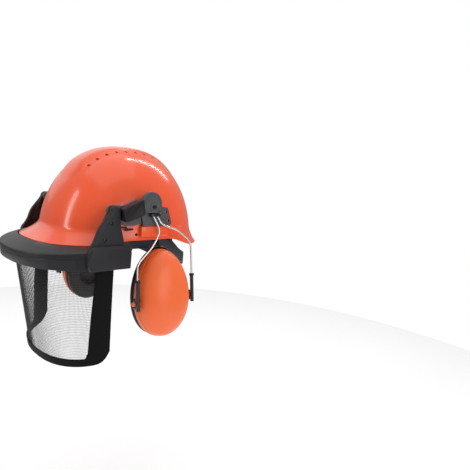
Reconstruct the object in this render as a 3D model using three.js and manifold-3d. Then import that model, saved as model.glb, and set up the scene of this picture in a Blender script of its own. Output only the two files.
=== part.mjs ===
// Forestry safety helmet: a vented hard hat shell with its head harness, a lifting mesh visor under a
// brow guard, and two ear muffs on sprung wire arms. Millimetres, +Z up, the wearer faces -Y and the
// wearer's left is +X. The origin is on the head's axis, at the height of the headband.
import * as THREE from 'three';
import { mergeVertices } from 'three/addons/utils/BufferGeometryUtils.js';
import Module from 'manifold-3d';

const wasm = await Module();
wasm.setup();

// ---------------------------------------------------------------- driving dimensions

const GAP = 0.3;                 // clearance left between pieces that touch
const RUN = 0.08;                // radial clearance of a pin in its bearing
const SLIVER = 0.04;             // thinnest leftover between nearly equal surfaces

// shell: a superellipse dome on a rim that flares into a peak and a nape lip
const SHELL_HALF_WIDTH = 106;
const SHELL_FRONT = 110;         // from the head's axis to the forehead, without the peak
const SHELL_REAR = 140;
const SHELL_HEIGHT = 141;
const SHELL_WALL = 2.6;
const CROWN_SHIFT = 16;          // how far the crown lies behind the head's axis
const PEAK_FRONT = 138;
const PEAK_SPREAD = 2;           // how much wider than the shell the peak is, on each side
const PEAK_HALF_WIDTH = SHELL_HALF_WIDTH + PEAK_SPREAD;
const PEAK_POWER = 2.6;
const NAPE_REAR = 158;
const NAPE_SPREAD = 1;
const NAPE_HALF_WIDTH = SHELL_HALF_WIDTH + NAPE_SPREAD;
const RIM_FRONT_Z = -2;
const RIM_SIDE_Z = 4;
const RIM_REAR_Z = -12;
const FLARE_ROOT_Z = 20;         // where the rim's flare leaves the dome
const OUTLINE_POWER = 2.3;
const DOME_POWER = 1.86;
const DOME_ROUNDNESS = 2.37;

// crest and vents
const CREST_HALF_WIDTH = 24;
const CREST_SLOPE = 11;          // width of the stepped riser beside the crest
const CREST_RISE = 3.2;
const CREST_FROM = 36;           // degrees round the head's cross axis, from the forehead
const CREST_TO = 172;
const VENTS_A_SIDE = 12;
const VENT_FROM = 55;
const VENT_TO = 135;
const VENT_OFFSET = 9;           // from the crest's edge out to the middle of a vent
const VENT_LENGTH = 6.5;
const VENT_WIDTH = 4.4;

// accessory slot on each side of the shell
const SLOT_Y = 10;
const SLOT_LENGTH = 44;
const SLOT_BOTTOM_Z = 12;
const SLOT_TOP_Z = 26;
const TONGUE_THICKNESS = 2.8;
const BOSS_WALL = 2;

// head harness
const BAND_HALF_WIDTH = 79;
const BAND_HALF_LENGTH = 98;
const BAND_CENTRE_Y = 10;
const BAND_THICKNESS = 2.2;
const BAND_BOTTOM_Z = -14;
const BAND_TOP_Z = 20;
const BAND_END_ANGLE = 128;
const PAD_THICKNESS = 4;
const PAD_END_ANGLE = 72;
const CLIP_ANGLE = 48;
const CLIP_WIDTH = 17;
const CLIP_THICKNESS = 3;
const CLIP_TOP_Z = 34;
const CRADLE_TOP_Z = 108;
const CRADLE_WIDTH = 20;
const CRADLE_THICKNESS = 1.6;

// nape ratchet
const NAPE_STRAP_HEIGHT = 20;
const NAPE_STRAP_THICKNESS = 1.8;
const NAPE_TRAVEL = 4;           // how far each strap slides from rest, in or out
const NAPE_Z = -48;
const NAPE_Y = 122;
const PINION_TEETH = 8;
const TOOTH_MODULE = 1.2;
const RACK_TEETH = 13;
const RACK_HEIGHT = 5;
const HOUSING_LENGTH = 74;
const HOUSING_HEIGHT = 27;
const HOUSING_WALL = 2;
const KNOB_RADIUS = 15;
const KNOB_DEPTH = 11;
const KNOB_RIDGES = 12;

// brow guard and visor
const GUARD_SPREAD = 17.5;       // how far the guard stands out beyond the shell at the temples
const GUARD_HALF_WIDTH = SHELL_HALF_WIDTH + GUARD_SPREAD;
const GUARD_FRONT = 164.5;
const GUARD_CENTRE_Y = -44;
const GUARD_POWER = 2.43;
const GUARD_TOP_Z = -1.4;        // outer top edge at the temples
const GUARD_FALL = 0.1;          // how fast that edge falls towards the front
const GUARD_LIP_Z = -33.5;
const GUARD_WALL = 3;
const GUARD_SEAT_Z = -1.8;       // inner edge of its top, beside the edge of the peak
const GUARD_SEAT_GAP = 1.2;
const GUARD_LEDGE = 4;           // how far it runs in under the peak
const ARM_CLEARANCE = 7;         // from the shell out to the guard's arm
const ARM_INNER_X = SHELL_HALF_WIDTH + ARM_CLEARANCE;
const ARM_THICKNESS = 6.5;
const TEMPLE_THICKNESS = 3.2;
const RIVET_RADIUS = 2.5;
const VISOR_SPREAD = 4.5;
const VISOR_HALF_WIDTH = SHELL_HALF_WIDTH + VISOR_SPREAD;
const VISOR_TOP_FRONT = 148;
const VISOR_FOOT_FRONT = 118;
const VISOR_TOP_Z = -16;
const VISOR_FOOT_Z = -171.6;
const VISOR_FOOT_DROP = 17;      // extra depth at the middle of the foot
const VISOR_REAR_Y = -37;
const FRAME_THICKNESS = 1.8;
const MESH_THICKNESS = 0.8;

// visor hinge
const HINGE_Y = -63;
const HINGE_Z = 50;
const HINGE_PIN_RADIUS = 3;
const HINGE_EYE = 8;             // radius of the arm's tip round the pin

// muff arm
const ARM_PIN_Y = 2;
const ARM_PIN_Z = 56;
const ARM_PIN_RADIUS = 3;
const PLATE_CLEARANCE = 0.4;
const PLATE_X = SHELL_HALF_WIDTH + PLATE_CLEARANCE;   // inner face of the slot bracket
const PLATE_THICKNESS = 4.2;
const DISC_THICKNESS = 6.5;
const DISC_RADIUS = 18;
const YOKE_Z = 43.6;
const YOKE_RADIUS = 3;
const WIRE_RADIUS = 1.5;
const REST_FLARE = 8;            // degrees that the arms stand off the head, in the airing position
const SLEEVE_RADIUS = 3;
const SLEEVE_TOP_Z = -52;
const SLEEVE_LENGTH = 46;
const SLIDE_UP = 6;              // how far the cup can be pushed up the wires from rest

// ear cup, upright before the arm is flared
const CUP_Y = 24;
const CUP_Z = -78;
const CUP_HALF_WIDTH = 47;
const CUP_HALF_HEIGHT = 69;
const CUP_TAPER = 0.1;
const CUP_RIM_INSET = 10;        // how far inside the shell's width the cup's rim lies
const CUP_RIM_X = SHELL_HALF_WIDTH - CUP_RIM_INSET;
const CUP_DEPTH = 39;
const CUP_WALL = 2.5;
const CUP_PLATE_THICKNESS = 3;
const CUSHION_THICKNESS = 11;
const EAR_HALF_WIDTH = 24;
const EAR_HALF_HEIGHT = 37;
const FOAM_THICKNESS = 6;
const LUG_Z = -88;
const LUG_RADIUS = 3.6;

// ---------------------------------------------------------------- finishes

const FINISH = {
  shell: [0xe8561f, 0.32, 0],
  cup: [0xf0642c, 0.38, 0],
  guard: [0x37363c, 0.55, 0],
  black: [0x17171a, 0.6, 0],
  mesh: [0x202022, 0.5, 0.4],
  wire: [0xc9ccd0, 0.22, 1],
  harness: [0x3a4048, 0.6, 0],
  fabric: [0x2a2a2e, 0.95, 0],
  foam: [0x4a4a50, 0.95, 0],
};

const helmet = new THREE.Group();

function addMesh(name, geometry, finish) {
  const [color, roughness, metalness] = FINISH[finish];
  const material = new THREE.MeshStandardMaterial({ color, roughness, metalness });
  const mesh = new THREE.Mesh(geometry, material);
  mesh.name = name;
  helmet.add(mesh);
}

// ---------------------------------------------------------------- solids

const radians = THREE.MathUtils.degToRad;
const { lerp, smoothstep } = THREE.MathUtils;
const V3 = (x, y, z) => new THREE.Vector3(x, y, z);
const V2 = (x, y) => new THREE.Vector2(x, y);

function toManifold(geometry) {
  const bare = geometry.clone();
  bare.deleteAttribute('normal');
  bare.deleteAttribute('uv');
  const merged = mergeVertices(bare, 1e-4);
  return new wasm.Manifold(new wasm.Mesh({
    numProp: 3,
    vertProperties: new Float32Array(merged.attributes.position.array),
    triVerts: new Uint32Array(merged.index.array),
  }));
}

// Slivers thinner than SLIVER, left where surfaces nearly coincide, are folded away.
function toGeometry(manifold) {
  const { vertProperties, triVerts } = manifold.simplify(SLIVER).getMesh();
  const geometry = new THREE.BufferGeometry();
  geometry.setAttribute('position', new THREE.BufferAttribute(new Float32Array(vertProperties), 3));
  geometry.setIndex(new THREE.BufferAttribute(new Uint32Array(triVerts), 1));
  return geometry;
}

function join(...geometries) {
  return toGeometry(geometries.map(toManifold).reduce((whole, piece) => whole.add(piece)));
}

function cut(geometry, ...cutters) {
  return toGeometry(cutters.map(toManifold).reduce((left, tool) => left.subtract(tool), toManifold(geometry)));
}

function fromFaces(points, faces) {
  const geometry = new THREE.BufferGeometry();
  geometry.setAttribute('position', new THREE.Float32BufferAttribute(points.flatMap((p) => [p.x, p.y, p.z]), 3));
  geometry.setIndex(faces.flat());
  return geometry;
}

// A closed body through rings of equal length. closed joins the last ring to the first; otherwise
// the flat section, given once in 2-D, caps both ends.
function loft(rings, section, closed = false) {
  const count = rings[0].length;
  const points = rings.flat();
  const faces = [];
  const last = closed ? rings.length : rings.length - 1;
  for (let i = 0; i < last; i++) {
    const here = i * count;
    const next = ((i + 1) % rings.length) * count;
    for (let j = 0; j < count; j++) {
      const k = (j + 1) % count;
      faces.push([here + j, here + k, next + k], [here + j, next + k, next + j]);
    }
  }
  if (!closed) {
    const end = (rings.length - 1) * count;
    const turned = THREE.ShapeUtils.isClockWise(section);
    for (const [a, p, q] of THREE.ShapeUtils.triangulateShape(section, [])) {
      const [b, c] = turned ? [q, p] : [p, q];
      faces.push([a, c, b], [end + a, end + b, end + c]);
    }
  }
  return outward(fromFaces(points, faces));
}

// Turns a closed geometry's faces over if they point in.
function outward(geometry) {
  const position = geometry.attributes.position;
  const index = geometry.index.array;
  const [a, b, c] = [V3(), V3(), V3()];
  let volume = 0;
  for (let i = 0; i < index.length; i += 3) {
    a.fromBufferAttribute(position, index[i]);
    b.fromBufferAttribute(position, index[i + 1]);
    c.fromBufferAttribute(position, index[i + 2]);
    volume += a.dot(b.cross(c));
  }
  if (volume < 0) {
    for (let i = 0; i < index.length; i += 3) {
      [index[i], index[i + 1]] = [index[i + 1], index[i]];
    }
  }
  return geometry;
}

// The same piece on the wearer's right.
function mirrored(geometry) {
  const copy = geometry.index ? geometry.clone() : mergeVertices(geometry);
  copy.applyMatrix4(new THREE.Matrix4().makeScale(-1, 1, 1));
  return outward(copy);
}

// Extrudes an outline drawn in (y, z) from x0 to x1.
function plate(outline, x0, x1, holes = []) {
  const points = outline.map(([y, z]) => V2(y, z));
  const shape = new THREE.Shape(THREE.ShapeUtils.isClockWise(points) ? points.reverse() : points);
  for (const [y, z, radius] of holes) {
    shape.holes.push(new THREE.Path().absarc(y, z, radius, 0, Math.PI * 2, true));
  }
  const geometry = new THREE.ExtrudeGeometry(shape, { depth: x1 - x0, bevelEnabled: false, curveSegments: 8 });
  const axes = new THREE.Matrix4().makeBasis(V3(0, 1, 0), V3(0, 0, 1), V3(1, 0, 0));
  return geometry.applyMatrix4(axes).translate(x0, 0, 0);
}

function box(x0, x1, y0, y1, z0, z1) {
  const geometry = new THREE.BoxGeometry(x1 - x0, y1 - y0, z1 - z0);
  return geometry.translate((x0 + x1) / 2, (y0 + y1) / 2, (z0 + z1) / 2);
}

// A round bar along X, stepped: [[x, radius], ...].
function turnedX(steps, y, z, segments = 16) {
  const first = steps[0];
  const last = steps[steps.length - 1];
  const profile = [V2(0, first[0]), ...steps.map(([x, radius]) => V2(radius, x)), V2(0, last[0])];
  const geometry = mergeVertices(bareLathe(profile, segments));
  geometry.rotateZ(-Math.PI / 2);
  return outward(geometry.translate(0, y, z));
}

function bareLathe(profile, segments) {
  const geometry = new THREE.LatheGeometry(profile, segments);
  geometry.deleteAttribute('normal');
  geometry.deleteAttribute('uv');
  return geometry;
}

// A round bar along Y from y0 to y1.
function rodY(radius, y0, y1, x, z, segments = 16) {
  const geometry = new THREE.CylinderGeometry(radius, radius, y1 - y0, segments);
  return geometry.translate(x, (y0 + y1) / 2, z);
}

// ---------------------------------------------------------------- shell

const signedPower = (value, power) => Math.sign(value) * Math.abs(value) ** power;

// A point of an oval outline: angle 0 is the front, 90 degrees is +X.
function oval(angle, halfWidth, front, rear, power) {
  const across = signedPower(Math.sin(angle), 2 / power);
  const along = signedPower(Math.cos(angle), 2 / power);
  return V2(halfWidth * across, -(along > 0 ? front : rear) * along);
}

const shrink = (z) => (1 - (Math.max(z, 0) / SHELL_HEIGHT) ** DOME_POWER) ** (1 / DOME_ROUNDNESS);

function domeAt(angle, z) {
  const base = oval(angle, SHELL_HALF_WIDTH, SHELL_FRONT, SHELL_REAR, OUTLINE_POWER);
  const scale = shrink(z);
  return V3(base.x * scale, (base.y - CROWN_SHIFT) * scale + CROWN_SHIFT, z);
}

function rimZ(angle) {
  const turn = Math.abs(THREE.MathUtils.radToDeg(angle));
  const front = lerp(RIM_FRONT_Z, RIM_SIDE_Z, smoothstep(turn, 58, 80));
  return lerp(front, RIM_REAR_Z, smoothstep(turn, 104, 134));
}

// The rim's own outline: the peak in front, the nape lip behind, the dome's foot between them.
function rimAt(angle) {
  const turn = Math.abs(THREE.MathUtils.radToDeg(angle));
  const z = rimZ(angle);
  const foot = domeAt(angle, z);
  const peak = oval(angle, PEAK_HALF_WIDTH, PEAK_FRONT, PEAK_FRONT, PEAK_POWER);
  const nape = oval(angle, NAPE_HALF_WIDTH, NAPE_REAR, NAPE_REAR, OUTLINE_POWER);
  const peakShare = 1 - smoothstep(turn, 58, 68);
  const napeShare = smoothstep(turn, 100, 145);
  const edge = V2(foot.x, foot.y).lerp(peak, peakShare).lerp(nape, napeShare);
  return V3(edge.x, edge.y, z);
}

// u runs from 0 at the rim's edge to 1 where the flare meets the dome, then on to 2 at the crown.
function shellAt(angle, u) {
  if (u >= 1) {
    const z = lerp(FLARE_ROOT_Z, SHELL_HEIGHT, Math.sin((u - 1) * Math.PI / 2));
    return domeAt(angle, Math.min(z, SHELL_HEIGHT));
  }
  const edge = rimAt(angle);
  const z = lerp(edge.z, FLARE_ROOT_Z, u);
  const share = (1 - u) ** 1.9;
  const wall = domeAt(angle, z);
  return V3(lerp(wall.x, edge.x, share), lerp(wall.y, edge.y, share), z);
}

function shellNormal(angle, u) {
  const step = 0.01;
  const along = shellAt(angle + step, u).sub(shellAt(angle - step, u));
  const up = shellAt(angle, Math.min(u + step, 2)).sub(shellAt(angle, Math.max(u - step, 0)));
  return along.cross(up).normalize();
}

function shellBody() {
  const columns = 40;
  const levels = [0, 0.22, 0.5, 1, 1.16, 1.32, 1.48, 1.63, 1.77, 1.89];
  const points = [];
  for (const depth of [0, SHELL_WALL]) {
    for (const u of levels) {
      for (let i = 0; i < columns; i++) {
        const angle = -Math.PI + (i + 0.5) * 2 * Math.PI / columns;
        const normal = shellNormal(angle, u);
        points.push(shellAt(angle, u).addScaledVector(normal, -depth));
      }
    }
    points.push(V3(0, CROWN_SHIFT, SHELL_HEIGHT - depth));
  }
  const layer = levels.length * columns + 1;
  const faces = [];
  for (let j = 0; j < levels.length - 1; j++) {
    for (let i = 0; i < columns; i++) {
      const k = (i + 1) % columns;
      const [a, b, c, d] = [j * columns + i, j * columns + k, (j + 1) * columns + k, (j + 1) * columns + i];
      faces.push([a, b, c], [a, c, d]);
      faces.push([layer + a, layer + c, layer + b], [layer + a, layer + d, layer + c]);
    }
  }
  const top = (levels.length - 1) * columns;
  for (let i = 0; i < columns; i++) {
    const k = (i + 1) % columns;
    faces.push([top + i, top + k, layer - 1]);
    faces.push([layer + top + k, layer + top + i, 2 * layer - 1]);
    faces.push([k, i, layer + i], [k, layer + i, layer + k]);
  }
  return outward(fromFaces(points, faces));
}

// The dome's surface in the plane x, on a ray that rises at the given angle from the forehead.
function ridgePoint(x, angle) {
  const direction = V2(-Math.cos(angle), Math.sin(angle));
  let [low, high] = [0, 2 * SHELL_REAR];
  for (let i = 0; i < 40; i++) {
    const reach = (low + high) / 2;
    const z = direction.y * reach;
    const scale = z < SHELL_HEIGHT ? shrink(z) : 0;
    const y = scale > 0 ? direction.x * reach / scale + CROWN_SHIFT : 1e6;
    const along = Math.abs(y / (y < 0 ? SHELL_FRONT : SHELL_REAR)) ** OUTLINE_POWER;
    const across = scale > 0 ? Math.abs(x / (SHELL_HALF_WIDTH * scale)) ** OUTLINE_POWER : 1e6;
    if (along + across > 1) high = reach;
    else low = reach;
  }
  return V3(x, CROWN_SHIFT + direction.x * low, direction.y * low);
}

function ridgeNormal(x, angle) {
  const step = 0.02;
  const along = ridgePoint(x, angle + step).sub(ridgePoint(x, angle - step));
  const across = ridgePoint(x + 1, angle).sub(ridgePoint(x - 1, angle));
  return across.cross(along).normalize();
}

function crest() {
  const edge = CREST_HALF_WIDTH;
  const foot = CREST_HALF_WIDTH + CREST_SLOPE;
  const across = [[-foot, -0.9], [-edge, 0.9], [0, 1.1], [edge, 0.9], [foot, -0.9]];
  const under = [[foot, -2.3], [edge, -2.1], [0, -1.9], [-edge, -2.1], [-foot, -2.3]];
  const section = [...across, ...under].map(([x, height]) => V2(x, height > 0 ? height * CREST_RISE : height));
  const rings = [];
  const stations = 12;
  for (let i = 0; i <= stations; i++) {
    const turn = lerp(CREST_FROM, CREST_TO, i / stations);
    const rise = smoothstep(turn, CREST_FROM, CREST_FROM + 20);
    const ring = section.map(({ x, y }) => {
      const height = y > 0 ? lerp(-1, y, rise) : y;
      const normal = ridgeNormal(x, radians(turn));
      return ridgePoint(x, radians(turn)).addScaledVector(normal, height);
    });
    rings.push(ring);
  }
  return loft(rings, section.map((p) => V2(p.x, p.y)));
}

function ventCutter(side, turn) {
  const x = side * (CREST_HALF_WIDTH + VENT_OFFSET);
  const angle = radians(turn);
  const normal = ridgeNormal(x, angle);
  const along = ridgePoint(x, angle + 0.02).sub(ridgePoint(x, angle - 0.02)).normalize();
  const across = along.clone().cross(normal).normalize();
  const depth = 4 * SHELL_WALL + 2 * CREST_RISE;
  const geometry = new THREE.BoxGeometry(VENT_LENGTH, VENT_WIDTH, depth);
  const frame = new THREE.Matrix4().makeBasis(across, along, normal);
  frame.setPosition(ridgePoint(x, angle));
  return geometry.applyMatrix4(frame);
}

const BOSS_OUTER_X = PLATE_X + TONGUE_THICKNESS + 2 * GAP + BOSS_WALL;

function slotBoss() {
  const half = SLOT_LENGTH / 2 + BOSS_WALL;
  const low = SLOT_BOTTOM_Z - BOSS_WALL;
  const inner = domeAt(Math.PI / 2, SLOT_TOP_Z).x - SHELL_WALL / 2;
  return box(inner, BOSS_OUTER_X, SLOT_Y - half, SLOT_Y + half, low, SLOT_TOP_Z);
}

function slotCavity() {
  const half = SLOT_LENGTH / 2;
  return box(PLATE_X - GAP, PLATE_X + TONGUE_THICKNESS + GAP, SLOT_Y - half, SLOT_Y + half,
    SLOT_BOTTOM_Z, SLOT_TOP_Z + 1);
}

function shell() {
  const bosses = [slotBoss(), mirrored(slotBoss())];
  const cutters = [slotCavity(), mirrored(slotCavity())];
  for (let i = 0; i < VENTS_A_SIDE; i++) {
    const turn = lerp(VENT_FROM, VENT_TO, i / (VENTS_A_SIDE - 1));
    cutters.push(ventCutter(1, turn), ventCutter(-1, turn));
  }
  return cut(join(shellBody(), crest(), ...bosses), ...cutters);
}

addMesh('shell', shell(), 'shell');

// ---------------------------------------------------------------- head harness

const bandAt = (angle, offset = 0) => {
  const length = BAND_HALF_LENGTH + offset;
  return oval(angle, BAND_HALF_WIDTH + offset, length, length, 2.1).add(V2(0, BAND_CENTRE_Y));
};

// A band that follows the head's oval between two angles, offset outwards from inner to outer.
function arcBand(from, to, inner, outer, z0, z1, stations) {
  const section = [V2(inner, z0), V2(outer, z0), V2(outer, z1), V2(inner, z1)];
  const rings = [];
  for (let i = 0; i <= stations; i++) {
    const angle = radians(lerp(from, to, i / stations));
    rings.push(section.map(({ x, y }) => {
      const p = bandAt(angle, x);
      return V3(p.x, p.y, y);
    }));
  }
  return loft(rings, section);
}

addMesh('headband', arcBand(-BAND_END_ANGLE, BAND_END_ANGLE, 0, BAND_THICKNESS, BAND_BOTTOM_Z, BAND_TOP_Z, 28),
  'harness');
addMesh('sweatband', arcBand(-PAD_END_ANGLE, PAD_END_ANGLE, -GAP - PAD_THICKNESS, -GAP, BAND_BOTTOM_Z, BAND_TOP_Z, 14),
  'fabric');

// Clips hang the headband from the shell: an upright strip outside the band, with a foot under it
// and a head that the cradle strap ends at.
const CLIP_INNER = BAND_THICKNESS + GAP;
const CLIP_TURNS = { front_left: CLIP_ANGLE, front_right: -CLIP_ANGLE, rear_left: 180 - CLIP_ANGLE,
  rear_right: CLIP_ANGLE - 180 };

function facing(turn) {
  const here = bandAt(radians(turn));
  const next = bandAt(radians(turn + 1));
  const along = V3(next.x - here.x, next.y - here.y, 0).normalize();
  const out = V3(0, 0, 1).cross(along).multiplyScalar(-1);
  const sign = Math.sign(out.x * here.x + out.y * (here.y - BAND_CENTRE_Y));
  return { here: V3(here.x, here.y, 0), out: out.multiplyScalar(sign) };
}

function harnessClip(turn) {
  const { here, out } = facing(turn);
  const body = box(CLIP_INNER, CLIP_INNER + CLIP_THICKNESS, -CLIP_WIDTH / 2, CLIP_WIDTH / 2, BAND_BOTTOM_Z, CLIP_TOP_Z);
  const hook = box(CLIP_INNER, CLIP_INNER + 3 * CLIP_THICKNESS, -CLIP_WIDTH / 4, CLIP_WIDTH / 4,
    BAND_TOP_Z - 12, BAND_TOP_Z);
  const side = V3(0, 0, 1).cross(out);
  const frame = new THREE.Matrix4().makeBasis(out, side, V3(0, 0, 1)).setPosition(here);
  return join(body, hook).applyMatrix4(frame);
}

for (const [place, turn] of Object.entries(CLIP_TURNS)) {
  addMesh(`harness_clip_${place}`, harnessClip(turn), 'harness');
}

// A cradle strap runs from one clip over the crown to the clip opposite.
function cradleStrap(turn, lift) {
  const start = facing(turn);
  const end = facing(turn > 0 ? turn - 180 : turn + 180);
  const a = start.here.clone().addScaledVector(start.out, CLIP_INNER);
  const b = end.here.clone().addScaledVector(end.out, CLIP_INNER);
  const low = CLIP_TOP_Z + 2 * GAP;
  const top = CRADLE_TOP_Z + lift;
  const chord = b.clone().sub(a);
  const side = V3(0, 0, 1).cross(chord).normalize();
  const half = CRADLE_WIDTH / 2;
  const section = [V2(-half, 0), V2(half, 0), V2(half, CRADLE_THICKNESS), V2(-half, CRADLE_THICKNESS)];
  const rings = [];
  const stations = 16;
  for (let i = 0; i <= stations; i++) {
    const turnUp = Math.PI * i / stations;
    const share = 0.5 - 0.5 * signedPower(Math.cos(turnUp), 0.9);
    const height = low + (top - low) * Math.sin(turnUp) ** 0.8;
    const middle = a.clone().addScaledVector(chord, share).setZ(height);
    const slopeShare = Math.cos(turnUp);
    const normal = V3(0, 0, Math.sin(turnUp)).addScaledVector(chord.clone().normalize(), -slopeShare).normalize();
    rings.push(section.map(({ x, y }) => middle.clone().addScaledVector(side, x).addScaledVector(normal, y)));
  }
  return loft(rings, section);
}

addMesh('cradle_strap_lower', cradleStrap(CLIP_ANGLE, 0), 'fabric');
addMesh('cradle_strap_upper', cradleStrap(-CLIP_ANGLE, CRADLE_THICKNESS + 1.2), 'fabric');

// ---------------------------------------------------------------- nape ratchet

const PITCH_RADIUS = PINION_TEETH * TOOTH_MODULE / 2;
const TOOTH_PITCH = Math.PI * TOOTH_MODULE;
const TOOTH_HALF = 0.7 * TOOTH_MODULE;   // tooth height on each side of the pitch line

function pinion() {
  const outline = [];
  for (let i = 0; i < PINION_TEETH; i++) {
    const middle = (i + 0.5) * 2 * Math.PI / PINION_TEETH;
    const corners = [[-0.62, -TOOTH_HALF], [-0.2, TOOTH_HALF], [0.2, TOOTH_HALF], [0.62, -TOOTH_HALF]];
    for (const [share, height] of corners) {
      const angle = middle + share * Math.PI / PINION_TEETH;
      outline.push(V2(Math.cos(angle) * (PITCH_RADIUS + height), Math.sin(angle) * (PITCH_RADIUS + height)));
    }
  }
  const depth = 4.4;
  const gear = new THREE.ExtrudeGeometry(new THREE.Shape(outline), { depth, bevelEnabled: false });
  gear.applyMatrix4(new THREE.Matrix4().makeBasis(V3(1, 0, 0), V3(0, 0, -1), V3(0, 1, 0)));
  gear.translate(0, NAPE_Y - depth / 2, NAPE_Z);
  const shaft = rodY(PITCH_RADIUS / 2, NAPE_Y, HOUSING_BACK_Y + KNOB_DEPTH / 2, 0, NAPE_Z);
  return join(gear, shaft);
}

const HOUSING_DEPTH = 9;
const HOUSING_BACK_Y = NAPE_Y + HOUSING_DEPTH / 2;

function ratchetHousing() {
  const half = HOUSING_LENGTH / 2;
  const tall = HOUSING_HEIGHT / 2;
  const body = box(-half, half, NAPE_Y - HOUSING_DEPTH / 2, HOUSING_BACK_Y, NAPE_Z - tall, NAPE_Z + tall);
  const tunnel = box(-half - 1, half + 1, NAPE_Y - HOUSING_DEPTH / 2 + HOUSING_WALL, HOUSING_BACK_Y - HOUSING_WALL,
    NAPE_Z - tall + HOUSING_WALL, NAPE_Z + tall - HOUSING_WALL);
  const bore = rodY(PITCH_RADIUS / 2 + 2 * RUN, HOUSING_BACK_Y - 2 * HOUSING_WALL, HOUSING_BACK_Y + 1, 0, NAPE_Z);
  return cut(body, tunnel, bore);
}

function ratchetKnob() {
  const y0 = HOUSING_BACK_Y + GAP;
  const outline = [];
  for (let i = 0; i < 2 * KNOB_RIDGES; i++) {
    const angle = i * Math.PI / KNOB_RIDGES;
    const radius = KNOB_RADIUS - (i % 2) * 1.2;
    outline.push(V2(Math.cos(angle) * radius, Math.sin(angle) * radius));
  }
  const wheel = new THREE.ExtrudeGeometry(new THREE.Shape(outline), { depth: KNOB_DEPTH, bevelEnabled: false });
  wheel.applyMatrix4(new THREE.Matrix4().makeBasis(V3(1, 0, 0), V3(0, 0, -1), V3(0, 1, 0)));
  wheel.translate(0, y0, NAPE_Z);
  const bore = rodY(PITCH_RADIUS / 2 + GAP, y0 - 1, HOUSING_BACK_Y + KNOB_DEPTH / 2 + GAP, 0, NAPE_Z);
  return cut(wheel, bore);
}

// The left strap carries the upper rack and runs from the left end of the headband, down round the
// nape and through the housing. The right strap carries the lower rack.
function rackTeeth(upper) {
  const z = NAPE_Z + (upper ? 1 : -1) * PITCH_RADIUS;
  const sign = upper ? -1 : 1;
  const span = RACK_TEETH * TOOTH_PITCH;
  const back = z - sign * (TOOTH_HALF + RACK_HEIGHT);
  const points = [V2(-span / 2, back), V2(span / 2, back), V2(span / 2, z - sign * TOOTH_HALF)];
  for (let i = RACK_TEETH - 1; i >= 0; i--) {
    const x = (i - (RACK_TEETH - 1) / 2) * TOOTH_PITCH;
    points.push(V2(x + 0.3 * TOOTH_PITCH, z - sign * TOOTH_HALF), V2(x + 0.1 * TOOTH_PITCH, z + sign * TOOTH_HALF));
    points.push(V2(x - 0.1 * TOOTH_PITCH, z + sign * TOOTH_HALF), V2(x - 0.3 * TOOTH_PITCH, z - sign * TOOTH_HALF));
  }
  points.push(V2(-span / 2, z - sign * TOOTH_HALF));
  const shape = new THREE.Shape(points);
  const rack = new THREE.ExtrudeGeometry(shape, { depth: NAPE_STRAP_THICKNESS, bevelEnabled: false });
  rack.applyMatrix4(new THREE.Matrix4().makeBasis(V3(1, 0, 0), V3(0, 0, 1), V3(0, -1, 0)));
  return rack.translate(0, NAPE_Y + NAPE_STRAP_THICKNESS / 2, 0);
}

function napeArm() {
  const start = bandAt(radians(104), BAND_THICKNESS + NAPE_STRAP_THICKNESS + NAPE_TRAVEL + 2 * GAP);
  const lead = RACK_TEETH * TOOTH_PITCH / 2 - 1;
  const route = new THREE.CatmullRomCurve3([
    V3(start.x, start.y, 3), V3(start.x - 0.5, start.y + 22, -9), V3(start.x - 12, start.y + 52, -30),
    V3(start.x - 27, NAPE_Y - 8, -42), V3(HOUSING_LENGTH / 2 + 3, NAPE_Y, NAPE_Z), V3(lead, NAPE_Y, NAPE_Z),
  ]);
  const half = NAPE_STRAP_HEIGHT / 2;
  const thick = NAPE_STRAP_THICKNESS / 2;
  const section = [V2(-thick, -half), V2(thick, -half), V2(thick, half), V2(-thick, half)];
  const rings = [];
  const stations = 16;
  for (let i = 0; i <= stations; i++) {
    const middle = route.getPointAt(i / stations);
    const along = route.getTangentAt(i / stations);
    const out = V3(along.y, -along.x, 0).normalize();
    const flat = Math.min(1, Math.max(0, (stations - i) / 4));
    const reach = lerp(0.98, 1, flat);
    rings.push(section.map(({ x, y }) => middle.clone().addScaledVector(out, x).add(V3(0, 0, y * reach))));
  }
  return loft(rings, section);
}

function napeStrap(upper) {
  const arm = upper ? napeArm() : mirrored(napeArm());
  const half = HOUSING_LENGTH / 2 - 1;
  const deep = 2 * NAPE_STRAP_THICKNESS;
  const low = upper ? NAPE_Z - NAPE_STRAP_HEIGHT : NAPE_Z - PITCH_RADIUS - TOOTH_HALF;
  const high = upper ? NAPE_Z + PITCH_RADIUS + TOOTH_HALF : NAPE_Z + NAPE_STRAP_HEIGHT;
  const notch = box(-half, half, NAPE_Y - deep, NAPE_Y + deep, low, high);
  return join(cut(arm, notch), rackTeeth(upper));
}

addMesh('ratchet_housing', ratchetHousing(), 'black');
addMesh('ratchet_pinion', pinion(), 'black');
addMesh('ratchet_knob', ratchetKnob(), 'black');
addMesh('nape_strap_left', napeStrap(true), 'harness');
addMesh('nape_strap_right', napeStrap(false), 'harness');

// ---------------------------------------------------------------- brow guard

const guardTopZ = (y) => GUARD_TOP_Z + GUARD_FALL * (y - GUARD_CENTRE_Y);

function guardAt(angle, inset) {
  const front = GUARD_FRONT + GUARD_CENTRE_Y;
  const p = oval(angle, GUARD_HALF_WIDTH - inset, front - inset, front - inset, GUARD_POWER);
  return V2(p.x, p.y + GUARD_CENTRE_Y);
}

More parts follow.
